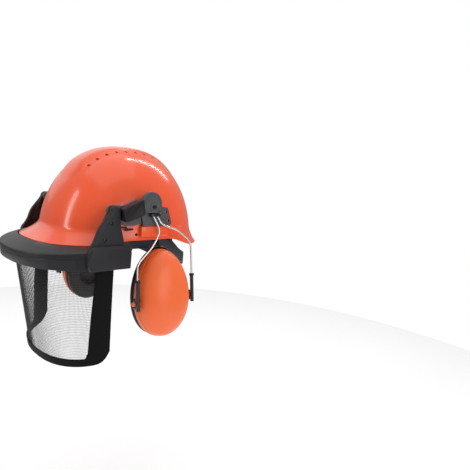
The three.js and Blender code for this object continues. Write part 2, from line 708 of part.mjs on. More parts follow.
// How far in from the guard's outline the edge of the peak lies, less the gap left beside it.
function seatInset(angle) {
  let [low, high] = [0, GUARD_HALF_WIDTH / 2];
  for (let i = 0; i < 30; i++) {
    const inset = (low + high) / 2;
    const p = guardAt(angle, inset);
    const across = Math.abs(p.x / (PEAK_HALF_WIDTH + GUARD_SEAT_GAP)) ** PEAK_POWER;
    const along = Math.abs(p.y / (PEAK_FRONT + GUARD_SEAT_GAP)) ** PEAK_POWER;
    if (across + along > 1) low = inset;
    else high = inset;
  }
  return low;
}

// The guard's section: the top slopes up to the edge of the peak and steps down under it, and the
// face drops to the lip with a shallow groove below its upper edge.
function guardSection(angle) {
  const edgeZ = guardTopZ(guardAt(angle, 0).y);
  const seat = seatInset(angle);
  const reach = seat + GUARD_LEDGE;
  const innerZ = RIM_FRONT_Z - SHELL_WALL - 2.2;
  const lip = GUARD_LIP_Z;
  return [
    [1.6, edgeZ + 0.6], [0, edgeZ - 1.4], [0.2, edgeZ - 6], [1.2, edgeZ - 7.4], [0.6, edgeZ - 8.8],
    [1.8, lip], [1.4 + GUARD_WALL, lip], [GUARD_WALL + 1.4, Math.min(edgeZ, innerZ) - GUARD_WALL - 1],
    [reach, innerZ - GUARD_WALL], [reach, innerZ], [seat, innerZ + 0.4], [seat, GUARD_SEAT_Z],
  ];
}

const GUARD_END_ANGLE = 92;

function guardSweep() {
  const stations = 24;
  const rings = [];
  for (let i = 0; i <= stations; i++) {
    const angle = radians(lerp(-GUARD_END_ANGLE, GUARD_END_ANGLE, i / stations));
    rings.push(guardSection(angle).map(([inset, z]) => {
      const p = guardAt(angle, inset);
      return V3(p.x, p.y, z);
    }));
  }
  return loft(rings, guardSection(Math.PI / 2).map(([inset, z]) => V2(inset, z)));
}

const ARM_OUTER_X = ARM_INNER_X + ARM_THICKNESS;
const RIVETS = { upper: [-70, 33], lower: [-79, 10] };

// The arm's outline from the hinge eye down its front edge, along the lip and up its rear edge.
function armOutline() {
  const eye = [];
  for (let i = 0; i <= 5; i++) {
    const angle = radians(lerp(-15, 190, i / 5));
    eye.push([HINGE_Y + HINGE_EYE * Math.cos(angle), HINGE_Z + HINGE_EYE * Math.sin(angle)]);
  }
  return [
    ...eye, [-79, 38], [-88, 26], [-93, 10], [-101, -2], [-104, GUARD_LIP_Z / 2],
    [-100, GUARD_LIP_Z + 1], [-46, GUARD_LIP_Z + 1], [-39, GUARD_LIP_Z + 9], [-46, 0], [-55, 34],
  ];
}

function browGuard() {
  const foot = plate([[-101, -2], [-104, GUARD_LIP_Z / 2], [-100, GUARD_LIP_Z + 1], [-46, GUARD_LIP_Z + 1],
    [-39, GUARD_LIP_Z + 9], [-46, 0]], ARM_INNER_X, GUARD_HALF_WIDTH + 0.5);
  const arm = join(plate(armOutline(), ARM_INNER_X, ARM_OUTER_X), foot);
  const holes = Object.values(RIVETS).map(([y, z]) => (
    turnedX([[-2 * ARM_OUTER_X, RIVET_RADIUS + GAP], [2 * ARM_OUTER_X, RIVET_RADIUS + GAP]], y, z, 12)
  ));
  return cut(join(guardSweep(), arm, mirrored(arm)), ...holes);
}

addMesh('brow_guard', browGuard(), 'guard');

// The temple plate is riveted inside the arm and carries the hinge eye.
const TEMPLE_OUTER_X = ARM_INNER_X - GAP;
const TEMPLE_INNER_X = TEMPLE_OUTER_X - TEMPLE_THICKNESS;

function templePlate() {
  const outline = [
    [HINGE_Y - 8, HINGE_Z], [HINGE_Y - 5, HINGE_Z + 7], [HINGE_Y + 2, HINGE_Z + 8], [HINGE_Y + 7, HINGE_Z + 3],
    [HINGE_Y + 6, HINGE_Z - 14], [-68, 4], [-74, 0], [-84, 2], [-86, 10], [-79, 34],
  ];
  const holes = Object.values(RIVETS).map(([y, z]) => [y, z, RIVET_RADIUS + GAP]);
  return plate(outline, TEMPLE_INNER_X, TEMPLE_OUTER_X, [...holes, [HINGE_Y, HINGE_Z, HINGE_PIN_RADIUS + RUN]]);
}

function rivet([y, z]) {
  const inside = TEMPLE_INNER_X - GAP;
  const outside = ARM_OUTER_X + GAP;
  return turnedX([
    [inside - 1, RIVET_RADIUS + 1.2], [inside, RIVET_RADIUS + 1.2], [inside, RIVET_RADIUS],
    [outside, RIVET_RADIUS], [outside, RIVET_RADIUS + 0.9], [outside + 1.2, RIVET_RADIUS - 0.4],
  ], y, z, 12);
}

// ---------------------------------------------------------------- visor

// The visor screen's surface: across runs from -1 to 1 round the face, down from 0 at the guard to 1.
function visorAt(across, down, offset) {
  const corner = 0.1 * Math.max(0, (Math.abs(across) - 0.8) / 0.2) ** 3.2;
  const t = down * (1 - corner);
  const angle = across * radians(lerp(81.5, 78, t));
  const front = lerp(VISOR_TOP_FRONT, VISOR_FOOT_FRONT, t) + VISOR_REAR_Y + offset;
  const around = signedPower(Math.sin(angle), 0.85);
  const ahead = signedPower(Math.cos(angle), 0.9);
  const foot = VISOR_FOOT_Z - VISOR_FOOT_DROP * ahead;
  return V3((VISOR_HALF_WIDTH + offset) * around, VISOR_REAR_Y - front * ahead, lerp(VISOR_TOP_Z, foot, t));
}

// A curved sheet of cells between two offsets of the visor surface, without the cells left out.
function sheet(columns, rows, inner, outer, keep) {
  const points = [];
  const wide = columns.length;
  for (const offset of [inner, outer]) {
    for (const row of rows) {
      for (const column of columns) points.push(visorAt(column(row), row, offset));
    }
  }
  const layer = wide * rows.length;
  const kept = (i, j) => i >= 0 && j >= 0 && i < wide - 1 && j < rows.length - 1 && keep(i, j);
  const faces = [];
  for (let j = 0; j < rows.length - 1; j++) {
    for (let i = 0; i < wide - 1; i++) {
      if (!kept(i, j)) continue;
      const [a, b, c, d] = [j * wide + i, j * wide + i + 1, (j + 1) * wide + i + 1, (j + 1) * wide + i];
      faces.push([a, b, c], [a, c, d], [layer + a, layer + c, layer + b], [layer + a, layer + d, layer + c]);
      for (const [near, from, to] of [[kept(i, j - 1), a, b], [kept(i + 1, j), b, c], [kept(i, j + 1), c, d],
        [kept(i - 1, j), d, a]]) {
        if (!near) faces.push([to, from, layer + from], [to, layer + from, layer + to]);
      }
    }
  }
  const used = [...new Set(faces.flat())];
  const place = new Map(used.map((old, now) => [old, now]));
  return outward(fromFaces(used.map((old) => points[old]), faces.map((face) => face.map((p) => place.get(p)))));
}

const WINDOW_TOP = 0.13;
const WINDOW_FOOT = 0.93;
const windowEdge = (down) => lerp(0.86, 0.72, down);

function visorFrame() {
  const shares = [-1, -0.8, -0.6, -0.4, -0.2, 0, 0.2, 0.4, 0.6, 0.8, 1];
  const outer = [-1, ...shares, 1];
  const columns = outer.map((share, i) => {
    if (i === 0 || i === outer.length - 1) return () => share;
    return (down) => share * windowEdge(down);
  });
  const rows = [0, WINDOW_TOP, 0.33, 0.53, 0.73, WINDOW_FOOT, 1];
  const inWindow = (i, j) => i > 0 && i < outer.length - 2 && j > 0 && j < rows.length - 2;
  return sheet(columns, rows, 0, FRAME_THICKNESS, (i, j) => !inWindow(i, j));
}

function visorMesh() {
  const lap = 0.03;
  const columns = [-1, -0.8, -0.6, -0.4, -0.2, 0, 0.2, 0.4, 0.6, 0.8, 1].map((share) => (
    (down) => share * (windowEdge(down) + lap)
  ));
  const rows = [WINDOW_TOP - lap, 0.33, 0.53, 0.73, WINDOW_FOOT + lap];
  const face = -4 * GAP;           // the flat facets of frame and mesh differ a little
  return sheet(columns, rows, face - MESH_THICKNESS, face, () => true);
}

addMesh('visor_frame', visorFrame(), 'black');
addMesh('visor_mesh', visorMesh(), 'mesh');

// The rail under the guard's top that the frame's upper edge is clipped to.
function visorRail() {
  const stations = 24;
  const section = [V2(0, -9), V2(2.6, -9), V2(2.6, -1), V2(0, -1)];
  const rings = [];
  for (let i = 0; i <= stations; i++) {
    const across = lerp(-0.78, 0.78, i / stations);
    rings.push(section.map(({ x, y }) => {
      const p = visorAt(across, 0.06, FRAME_THICKNESS + GAP + 0.4 + x);
      return p.setZ(p.z + y);
    }));
  }
  return loft(rings, section);
}

addMesh('visor_rail', visorRail(), 'black');

// ---------------------------------------------------------------- hardware on each side

const PLATE_OUTER_X = PLATE_X + PLATE_THICKNESS;
const DISC_X = PLATE_OUTER_X + 1;
const DISC_OUTER_X = DISC_X + DISC_THICKNESS;
const DISC_CENTRE = [ARM_PIN_Y - 4, ARM_PIN_Z + 5];

function circle(y, z, radius, from, to, steps) {
  const points = [];
  for (let i = 0; i <= steps; i++) {
    const angle = radians(lerp(from, to, i / steps));
    points.push([y + radius * Math.cos(angle), z + radius * Math.sin(angle)]);
  }
  return points;
}

// The bracket's tongue stands in the shell's slot; its plate carries the muff arm's pin.
function slotBracket() {
  const outline = [
    [-10, SLOT_TOP_Z + GAP], [38, SLOT_TOP_Z + GAP], [42, 30], [37, 44], [33, 55], [22, 56],
    [16, ARM_PIN_Z + 12], [ARM_PIN_Y - 4, ARM_PIN_Z + 15], [-12, ARM_PIN_Z + 8], [-14, 40],
  ];
  const holes = [[30, 48, 2.4], [35, 34, 2.4], [ARM_PIN_Y, ARM_PIN_Z, ARM_PIN_RADIUS + GAP]];
  const face = plate(outline, PLATE_X, PLATE_OUTER_X, holes);
  const half = SLOT_LENGTH / 2 - GAP;
  const tongue = box(PLATE_X, PLATE_X + TONGUE_THICKNESS, SLOT_Y - half, SLOT_Y + half, SLOT_BOTTOM_Z + GAP,
    SLOT_TOP_Z + 2);
  return join(face, tongue);
}

// The visor mount's base: a bar beside the bracket, with an eye for the hinge pin.
const MOUNT_REAR_Y = -14.5;
const MOUNT_INNER_X = TEMPLE_INNER_X - GAP - 5;
const MOUNT_OUTER_X = TEMPLE_INNER_X - GAP;

function visorMount() {
  const eye = circle(HINGE_Y, HINGE_Z, HINGE_EYE, 80, 280, 6);
  const outline = [...eye, [-45, 30], [-30, 27], [MOUNT_REAR_Y, 30], [MOUNT_REAR_Y, 62], [-24, 66], [-45, 57]];
  return plate(outline, MOUNT_INNER_X, MOUNT_OUTER_X, [[HINGE_Y, HINGE_Z, HINGE_PIN_RADIUS + RUN]]);
}

const COVER_REACH = 20;          // from the shell out to the cover's face
const COVER_OUTER_X = SHELL_HALF_WIDTH + COVER_REACH;

function visorMountCover() {
  const outline = [[-52, 38], [-46, 31], [-28, 38], [-28, 67], [-33, 66], [-51, 56]];
  const body = plate(outline, MOUNT_OUTER_X + GAP, COVER_OUTER_X);
  const inside = plate([[-49, 40], [-45, 35], [-31, 40], [-31, 63], [-48, 54]], MOUNT_OUTER_X, COVER_OUTER_X - 2.5);
  const wing = plate([[-29, 38], [-17, 46], [-15, 52], [-16, 64], [-21, 69], [-29, 67]], DISC_OUTER_X + GAP,
    COVER_OUTER_X);
  return join(cut(body, inside), wing);
}

// The lever below the cover that frees the visor from its raised position.
function visorCatch() {
  const outline = [[-55, 24], [-40, 24.5], [-38, 19.5], [-26, 21], [-26, 23.5], [-36, 23], [-38, 26.5], [-55, 26]];
  return plate(outline, MOUNT_INNER_X + 1, MOUNT_OUTER_X - 1);
}

function hingePin() {
  const inside = MOUNT_INNER_X - GAP;
  return turnedX([
    [inside - 1.5, HINGE_PIN_RADIUS + 1.5], [inside, HINGE_PIN_RADIUS + 1.5], [inside, HINGE_PIN_RADIUS],
    [TEMPLE_OUTER_X - GAP, HINGE_PIN_RADIUS],
  ], HINGE_Y, HINGE_Z);
}

function armDisc() {
  const outline = [
    ...circle(...DISC_CENTRE, DISC_RADIUS, -28, 208, 16),
    [-9, YOKE_Z + YOKE_RADIUS + 1], [17, YOKE_Z + YOKE_RADIUS + 1],
  ];
  return plate(outline, DISC_X, DISC_OUTER_X, [[ARM_PIN_Y, ARM_PIN_Z, ARM_PIN_RADIUS + RUN]]);
}

function armPin() {
  const outside = DISC_OUTER_X + GAP;
  return turnedX([
    [PLATE_X - 1.3, ARM_PIN_RADIUS + 1.6], [PLATE_X - GAP, ARM_PIN_RADIUS + 1.6],
    [PLATE_X - GAP, ARM_PIN_RADIUS], [outside, ARM_PIN_RADIUS], [outside, ARM_PIN_RADIUS + 1.2],
    [outside + 1.6, ARM_PIN_RADIUS - 0.8],
  ], ARM_PIN_Y, ARM_PIN_Z);
}

// ---------------------------------------------------------------- muffs

// Everything from the yoke down is drawn upright, then flared about the yoke's axis.
const YOKE_X = (DISC_X + DISC_OUTER_X) / 2;

function flared(geometry) {
  geometry.translate(-YOKE_X, 0, -YOKE_Z);
  geometry.rotateY(-radians(REST_FLARE));
  return geometry.translate(YOKE_X, 0, YOKE_Z);
}

function wire(points) {
  const route = new THREE.CurvePath();
  for (let i = 0; i < points.length - 1; i++) {
    const before = i === 0 ? points[0] : points[i].clone().lerp(points[i - 1], 0.3);
    const from = i === 0 ? points[0] : points[i].clone().lerp(points[i + 1], 0.3);
    const to = i === points.length - 2 ? points[i + 1] : points[i + 1].clone().lerp(points[i], 0.3);
    if (i > 0) route.add(new THREE.QuadraticBezierCurve3(before, points[i], from));
    route.add(new THREE.LineCurve3(from, to));
  }
  return route;
}

const FRONT_WIRE_Y = CUP_Y - CUP_HALF_WIDTH - 5;
const REAR_WIRE_Y = CUP_Y + CUP_HALF_WIDTH + 5;
const WIRE_TOP_Z = YOKE_Z - 0.8;
const WIRE_END_Z = SLEEVE_TOP_Z - SLEEVE_LENGTH + SLIDE_UP + 8;

const WIRES = {
  front: [[3, WIRE_TOP_Z], [11, 29], [14, 18], [8, 6], [-2, -7], [FRONT_WIRE_Y + 5, -25], [FRONT_WIRE_Y, -34],
    [FRONT_WIRE_Y, WIRE_END_Z]],
  rear: [[10, WIRE_TOP_Z], [19, 29], [49, 20], [REAR_WIRE_Y - 3, 2], [REAR_WIRE_Y, -10],
    [REAR_WIRE_Y, WIRE_END_Z]],
};

function muffWire(points) {
  const sides = 6;
  const dense = wire(points.map(([y, z]) => V3(YOKE_X, y, z))).getPoints(2);
  const spots = dense.filter((p, i) => i === 0 || p.distanceTo(dense[i - 1]) > 0.5);
  const section = [];
  for (let i = 0; i < sides; i++) {
    const angle = i * 2 * Math.PI / sides;
    section.push(V2(Math.cos(angle) * WIRE_RADIUS, Math.sin(angle) * WIRE_RADIUS));
  }
  const rings = spots.map((p, i) => {
    const ahead = spots[Math.min(i + 1, spots.length - 1)];
    const behind = spots[Math.max(i - 1, 0)];
    const along = ahead.clone().sub(behind).normalize();
    const across = V3(1, 0, 0).cross(along).normalize();
    return section.map(({ x, y }) => p.clone().add(V3(x, 0, 0)).addScaledVector(across, y));
  });
  return loft(rings, section);
}

// The yoke barrel turns on the disc and holds the top ends of both wires.
function yoke() {
  const barrel = rodY(YOKE_RADIUS, -2, 15, YOKE_X, YOKE_Z);
  const bores = [WIRES.front[0], WIRES.rear[0]].map(([y]) => (
    box(YOKE_X - WIRE_RADIUS - GAP, YOKE_X + WIRE_RADIUS + GAP, y - WIRE_RADIUS - 1, y + WIRE_RADIUS + 2.4,
      YOKE_Z - 2 * YOKE_RADIUS, YOKE_Z + 0.5)
  ));
  return cut(barrel, ...bores);
}

// A sleeve slides on its wire and clips round the cup's lug.
function sleeve(wireY) {
  const z1 = SLEEVE_TOP_Z;
  const z0 = z1 - SLEEVE_LENGTH;
  const tube = new THREE.CylinderGeometry(SLEEVE_RADIUS, SLEEVE_RADIUS, SLEEVE_LENGTH, 14);
  tube.rotateX(Math.PI / 2).translate(YOKE_X, wireY, (z0 + z1) / 2);
  const collar = new THREE.CylinderGeometry(SLEEVE_RADIUS + 1, SLEEVE_RADIUS + 1, 4, 14);
  collar.rotateX(Math.PI / 2).translate(YOKE_X, wireY, z1 - 2);
  const clip = box(YOKE_X - 11, YOKE_X - 1, wireY - 1.5, wireY + 1.5, LUG_Z - 8, LUG_Z + 8);
  const bore = new THREE.CylinderGeometry(WIRE_RADIUS + GAP, WIRE_RADIUS + GAP, 2 * SLEEVE_LENGTH, 8);
  bore.rotateX(Math.PI / 2).translate(YOKE_X, wireY, (z0 + z1) / 2);
  const eye = rodY(LUG_RADIUS + 2 * RUN, wireY - 4, wireY + 4, LUG_X, LUG_Z, 14);
  return cut(join(tube, collar, clip), bore, eye);
}

const LUG_X = YOKE_X - 7;

function eggOutline(halfWidth, halfHeight, steps) {
  const points = [];
  for (let i = 0; i < steps; i++) {
    const angle = i * 2 * Math.PI / steps;
    const wide = halfWidth * (1 - CUP_TAPER * Math.sin(angle));
    points.push(V2(wide * Math.cos(angle), halfHeight * Math.sin(angle)));
  }
  return points;
}

// A body of egg-shaped rings, each [x, half width, half height].
function eggStack(levels, steps) {
  const rings = levels.map(([x, halfWidth, halfHeight]) => (
    eggOutline(halfWidth, halfHeight, steps).map((p) => V3(x, CUP_Y + p.x, CUP_Z + p.y))
  ));
  return loft(rings, eggOutline(1, 1, steps));
}

function domeLevels(wall) {
  const levels = [];
  const last = 5;
  for (let i = 0; i <= last; i++) {
    const out = i === last ? 0.985 : Math.sin(i / last * Math.PI / 2);
    const scale = (1 - out ** 2.7) ** (1 / 2.3);
    levels.push([CUP_RIM_X + out * (CUP_DEPTH - wall), (CUP_HALF_WIDTH - wall) * scale,
      (CUP_HALF_HEIGHT - wall) * scale]);
  }
  return levels;
}

const LUG_REACH = 8.5;

function cupShell() {
  const outside = eggStack(domeLevels(0), 22);
  const [first, ...rest] = domeLevels(CUP_WALL);
  const inside = eggStack([[first[0] - 1, first[1], first[2]], ...rest], 18);
  const lugs = [
    rodY(LUG_RADIUS, FRONT_WIRE_Y - LUG_REACH / 2, CUP_Y - CUP_HALF_WIDTH + 5, LUG_X, LUG_Z, 14),
    rodY(LUG_RADIUS, CUP_Y + CUP_HALF_WIDTH - 5, REAR_WIRE_Y + LUG_REACH / 2, LUG_X, LUG_Z, 14),
  ];
  return cut(join(outside, ...lugs), inside);
}

function eggRing(x0, x1, margin, round, hole) {
  const outside = eggStack([
    [x0, CUP_HALF_WIDTH - margin - round, CUP_HALF_HEIGHT - margin - round],
    [x0 + round, CUP_HALF_WIDTH - margin, CUP_HALF_HEIGHT - margin],
    [x1 - round / 2, CUP_HALF_WIDTH - margin, CUP_HALF_HEIGHT - margin],
    [x1, CUP_HALF_WIDTH - margin - round / 2, CUP_HALF_HEIGHT - margin - round / 2],
  ], 20);
  const through = eggStack([[x0 - 1, EAR_HALF_WIDTH + hole, EAR_HALF_HEIGHT + hole],
    [x1 + 1, EAR_HALF_WIDTH + hole, EAR_HALF_HEIGHT + hole]], 14);
  return cut(outside, through);
}

const PLATE_FACE_X = CUP_RIM_X - GAP;
const CUSHION_FACE_X = PLATE_FACE_X - CUP_PLATE_THICKNESS - GAP;

function foamLiner() {
  const x0 = CUP_RIM_X + 1;
  const narrow = CUP_HALF_WIDTH - 3 * CUP_WALL;
  const tall = CUP_HALF_HEIGHT - 3 * CUP_WALL;
  return eggStack([[x0, narrow, tall], [x0 + FOAM_THICKNESS, narrow - 2, tall - 2]], 20);
}

// ---------------------------------------------------------------- both sides

for (const side of ['left', 'right']) {
  const place = (geometry) => (side === 'left' ? geometry : mirrored(geometry));
  addMesh(`${side}_temple_plate`, place(templePlate()), 'guard');
  for (const [level, spot] of Object.entries(RIVETS)) {
    addMesh(`${side}_rivet_${level}`, place(rivet(spot)), 'black');
  }
  addMesh(`${side}_slot_bracket`, place(slotBracket()), 'guard');
  addMesh(`${side}_visor_mount`, place(visorMount()), 'guard');
  addMesh(`${side}_visor_mount_cover`, place(visorMountCover()), 'guard');
  addMesh(`${side}_visor_catch`, place(visorCatch()), 'black');
  addMesh(`${side}_visor_hinge_pin`, place(hingePin()), 'wire');
  addMesh(`${side}_arm_disc`, place(armDisc()), 'guard');
  addMesh(`${side}_arm_pin`, place(armPin()), 'black');
  addMesh(`${side}_yoke`, place(flared(yoke())), 'black');
  addMesh(`${side}_front_wire`, place(flared(muffWire(WIRES.front))), 'wire');
  addMesh(`${side}_rear_wire`, place(flared(muffWire(WIRES.rear))), 'wire');
  addMesh(`${side}_front_sleeve`, place(flared(sleeve(FRONT_WIRE_Y))), 'black');
  addMesh(`${side}_rear_sleeve`, place(flared(sleeve(REAR_WIRE_Y))), 'black');
  addMesh(`${side}_cup_shell`, place(flared(cupShell())), 'cup');
  addMesh(`${side}_cup_plate`, place(flared(eggRing(PLATE_FACE_X - CUP_PLATE_THICKNESS, PLATE_FACE_X, 1, 0.6, 3))),
    'black');
  addMesh(`${side}_ear_cushion`, place(flared(eggRing(CUSHION_FACE_X - CUSHION_THICKNESS, CUSHION_FACE_X, 1, 4, 0))),
    'fabric');
  addMesh(`${side}_foam_liner`, place(flared(foamLiner())), 'foam');
}

export default helmet;
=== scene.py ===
# %% [markdown]
# # A forestry hard hat
# The object is a moulded shell with a head harness inside it, a mesh visor hung under a brow guard, and
# two ear muffs on sprung wires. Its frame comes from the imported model, which fixes every size and pivot.
# Blender gives it the finished surfaces: round edges, real wires in the screen, seams, pads and finishes.

# %% Load the frame
import math
import bpy
import numpy as np
from mathutils import Matrix, Vector


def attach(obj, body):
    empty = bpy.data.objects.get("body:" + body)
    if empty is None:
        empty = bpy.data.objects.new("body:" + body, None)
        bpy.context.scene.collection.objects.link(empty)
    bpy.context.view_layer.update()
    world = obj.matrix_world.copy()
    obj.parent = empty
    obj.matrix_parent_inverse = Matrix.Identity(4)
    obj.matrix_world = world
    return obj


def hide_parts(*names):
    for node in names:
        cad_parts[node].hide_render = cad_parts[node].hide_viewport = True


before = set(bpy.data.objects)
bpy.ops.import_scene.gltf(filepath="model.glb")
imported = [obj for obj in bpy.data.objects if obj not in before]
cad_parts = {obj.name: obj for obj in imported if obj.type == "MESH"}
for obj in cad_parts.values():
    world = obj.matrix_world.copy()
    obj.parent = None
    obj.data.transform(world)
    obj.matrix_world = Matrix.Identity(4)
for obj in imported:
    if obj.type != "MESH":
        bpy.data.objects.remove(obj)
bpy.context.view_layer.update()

# %% [markdown]
# ## Camera, floor and light
# A product shot looks best with large, soft lamps, a bright surround, and one narrow strip whose
# reflection draws an arc over the glossy crown. The camera is a normal lens a little above the rim.

# %% Camera
camera = bpy.data.objects.new("camera", bpy.data.cameras.new("camera"))
bpy.context.scene.collection.objects.link(camera)
camera.data.lens, camera.data.sensor_width = 33.38, 36
turn = Matrix.Rotation(math.radians(43.34), 4, "Z") @ Matrix.Rotation(math.radians(81.98), 4, "X")
camera.matrix_world = (Matrix.Translation((0.6558, -0.3872, 0.1166)) @ turn
                       @ Matrix.Rotation(math.radians(4.9), 4, "Z"))
bpy.context.scene.camera = camera
bpy.context.scene.view_settings.view_transform = "Standard"
print("camera stands", round(camera.location.length, 3), "m from the head's axis")

# %% [markdown]
# A helper for lights: a rectangle that faces a point. The world is white to the eye. As a light it is
# dimmer, most of all towards the floor, so that the dark plastics keep their shape.

# %% Lights and world
def area_light(name, place, aim, size, power, along=(0, 0, 1)):
    """A rectangle that faces a point; its second side runs as near as it can to a direction."""
    lamp = bpy.data.objects.new(name, bpy.data.lights.new(name, "AREA"))
    bpy.context.scene.collection.objects.link(lamp)
    lamp.data.shape, lamp.data.energy = "RECTANGLE", power
    lamp.data.size, lamp.data.size_y = size
    back = (Vector(place) - Vector(aim)).normalized()
    across = Vector(along).cross(back).normalized()
    turn = Matrix((across, back.cross(across), back)).transposed().to_4x4()
    lamp.matrix_world = Matrix.Translation(place) @ turn
    return lamp


area_light("overhead", (0, -0.1, 2.2), (0, 0, 0), (2.6, 2.6), 15)
area_light("far_side", (-1.3, 0.15, 0.6), (0, 0, 0.05), (1.6, 0.8), 2)
area_light("front_band", (-0.42, -1.33, 0.45), (0, 0, 0.05), (0.2, 1.0), 4)
area_light("side", (1.6, 0.2, 0.35), (0, 0, -0.05), (0.9, 1.1), 7)
area_light("strip", (-0.15, 0.95, 1.1), (0.06, 0.025, 0.115), (0.03, 1.0), 4, along=(0.28, 0.74, -0.6))
world = bpy.data.worlds.new("surround")
bpy.context.scene.world = world
world.use_nodes = True
sky = world.node_tree.nodes
path = sky.new("ShaderNodeLightPath")
height = sky.new("ShaderNodeSeparateXYZ")
world.node_tree.links.new(sky.new("ShaderNodeTexCoord").outputs["Generated"], height.inputs["Vector"])
shade = sky.new("ShaderNodeMapRange")
shade.inputs["From Min"].default_value, shade.inputs["From Max"].default_value = -0.15, 0.85
shade.inputs["To Min"].default_value, shade.inputs["To Max"].default_value = 0.25, 0.7
world.node_tree.links.new(height.outputs["Z"], shade.inputs["Value"])
strength = sky.new("ShaderNodeMix")
world.node_tree.links.new(path.outputs["Is Camera Ray"], strength.inputs["Factor"])
world.node_tree.links.new(shade.outputs["Result"], strength.inputs["A"])
strength.inputs["B"].default_value = 1.0
world.node_tree.links.new(strength.outputs["Result"], sky["Background"].inputs["Strength"])
sky["Background"].inputs["Color"].default_value = (1, 1, 1, 1)
print(len(bpy.data.lights), "lights")

# %% [markdown]
# ## Making and shaping
# Most of these pieces are sheets or tubes that follow a curved surface. Each starts as a flat grid, whose
# points are then carried onto the surface, and Solidify, Bevel and Boolean give it body. These helpers
# keep the selection clean, because an operator acts on everything that is selected.

# %% Helpers
MM = 0.001


def deselect():
    if bpy.context.object and bpy.context.object.mode != "OBJECT":
        bpy.ops.object.mode_set(mode="OBJECT")
    bpy.ops.object.select_all(action="DESELECT")


def take(piece):
    deselect()
    piece.select_set(True)
    bpy.context.view_layer.objects.active = piece
    return piece


def in_edit_mode(piece, *steps):
    """Runs edit mode steps on all of a piece; each step is a function with no values."""
    take(piece)
    bpy.ops.object.mode_set(mode="EDIT")
    bpy.ops.mesh.select_all(action="SELECT")
    for step in steps:
        step()
    bpy.ops.object.mode_set(mode="OBJECT")


def weld(threshold=2e-6):
    bpy.ops.mesh.remove_doubles(threshold=threshold)


def fill_ends():
    bpy.ops.mesh.fill_holes(sides=0)


def outwards():
    bpy.ops.mesh.normals_make_consistent(inside=False)


def select_faces(piece, wanted):
    """Opens a piece in face mode with only the faces selected for which wanted(face) holds."""
    in_edit_mode(piece, lambda: bpy.ops.mesh.select_mode(type="FACE"),
                 lambda: bpy.ops.mesh.select_all(action="DESELECT"))
    flags = np.array([bool(wanted(face)) for face in piece.data.polygons])
    piece.data.polygons.foreach_set("select", flags)
    bpy.ops.object.mode_set(mode="EDIT")
    return int(flags.sum())


def close_edit_mode():
    bpy.ops.mesh.select_mode(type="VERT")
    bpy.ops.object.mode_set(mode="OBJECT")


def delete_faces(piece, wanted):
    """Deletes the faces for which wanted(face) holds, and says how many there were."""
    count = select_faces(piece, wanted)
    bpy.ops.mesh.delete(type="FACE")
    close_edit_mode()
    return count


def modify(piece, kind, **settings):
    take(piece)
    modifier = piece.modifiers.new(kind.title(), kind)
    for name, value in settings.items():
        setattr(modifier, name, value)
    bpy.ops.object.modifier_apply(modifier=modifier.name)
    return piece


def grid(name, columns, rows):
    deselect()
    bpy.ops.mesh.primitive_grid_add(x_subdivisions=columns, y_subdivisions=rows, size=2)
    piece = bpy.context.object
    piece.name = piece.data.name = name
    return piece


def wrap(piece, place):
    """Carries a flat grid's points to place(across, up), each from 0 to 1, given in millimetres."""
    flat = np.zeros(len(piece.data.vertices) * 3, np.float32)
    piece.data.vertices.foreach_get("co", flat)
    flat = flat.reshape(-1, 3)
    across, up = (flat[:, 0] + 1) / 2, (flat[:, 1] + 1) / 2
    points = np.stack(np.broadcast_arrays(*place(across, up)), axis=1) * MM
    piece.data.vertices.foreach_set("co", points.astype(np.float32).ravel())
    piece.data.update()
    return piece


def turn_out(piece, centre=(0, 0, 0)):
    """Turns an open sheet's faces over if most of them look towards the centre, in millimetres."""
    middle = Vector(centre) * MM
    facing = sum((f.center - middle).dot(f.normal) * f.area for f in piece.data.polygons)
    if facing < 0:
        in_edit_mode(piece, bpy.ops.mesh.flip_normals)
    return piece


def thicken(piece, wall, **settings):
    """Gives a sheet a wall, in millimetres, on the side away from its normals."""
    return modify(piece, "SOLIDIFY", thickness=wall * MM, offset=-1, **settings)


def round_edges(piece, width, angle, segments=2, **settings):
    return modify(piece, "BEVEL", width=width * MM, segments=segments, limit_method="ANGLE",
                  angle_limit=math.radians(angle), **settings)


def soften(piece, width, angle=30, segments=2):
    """Rounds the piece's sharp edges, in millimetres, then shades it smooth between them."""
    round_edges(piece, width, angle, segments, miter_outer="MITER_ARC", use_clamp_overlap=True)
    return smooth(piece, 35)


def smooth(piece, angle=35):
    take(piece)
    bpy.ops.object.shade_smooth_by_angle(angle=math.radians(angle))
    return piece


def joined(first, *others):
    take(first)
    for other in others:
        other.select_set(True)
    bpy.ops.object.join()
    return first


def boolean(piece, tool, operation):
    modify(piece, "BOOLEAN", operation=operation, object=tool, solver="EXACT")
    bpy.data.objects.remove(tool)
    return piece


def with_mirror_copy(left):
    """Names a left piece, and adds its copy turned over across the head's middle plane."""
    right = left.copy()
    right.data = left.data.copy()
    right.name = right.data.name = "right_" + left.name
    left.name = left.data.name = "left_" + left.name
    bpy.context.scene.collection.objects.link(right)
    right.data.transform(Matrix.Scale(-1, 4, (1, 0, 0)))
    right.data.flip_normals()
    return (("left", left), ("right", right))


# %% [markdown]
# A prismatic bracket or pin already has its exact outline in the frame. A copy of that mesh is welded,
# its flat faces are joined, and its edges are rounded, which is what a mould or a tumbler does to them.

# %% Pieces that start from the frame
def from_frame(name, node, rounding, angle=30):
    piece = bpy.data.objects.new(name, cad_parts[node].data.copy())
    bpy.context.scene.collection.objects.link(piece)
    piece.data.materials.clear()
    in_edit_mode(piece, weld, lambda: bpy.ops.mesh.dissolve_limited(angle_limit=math.radians(1.5)))
    return soften(piece, rounding, angle)


def add_box(low, high, name="cutter"):
    deselect()
    low, high = Vector(low) * MM, Vector(high) * MM
    bpy.ops.mesh.primitive_cube_add(size=1, location=(low + high) / 2, scale=high - low)
    bpy.ops.object.transform_apply(location=True, rotation=True, scale=True)
    bpy.context.object.name = name
    return bpy.context.object


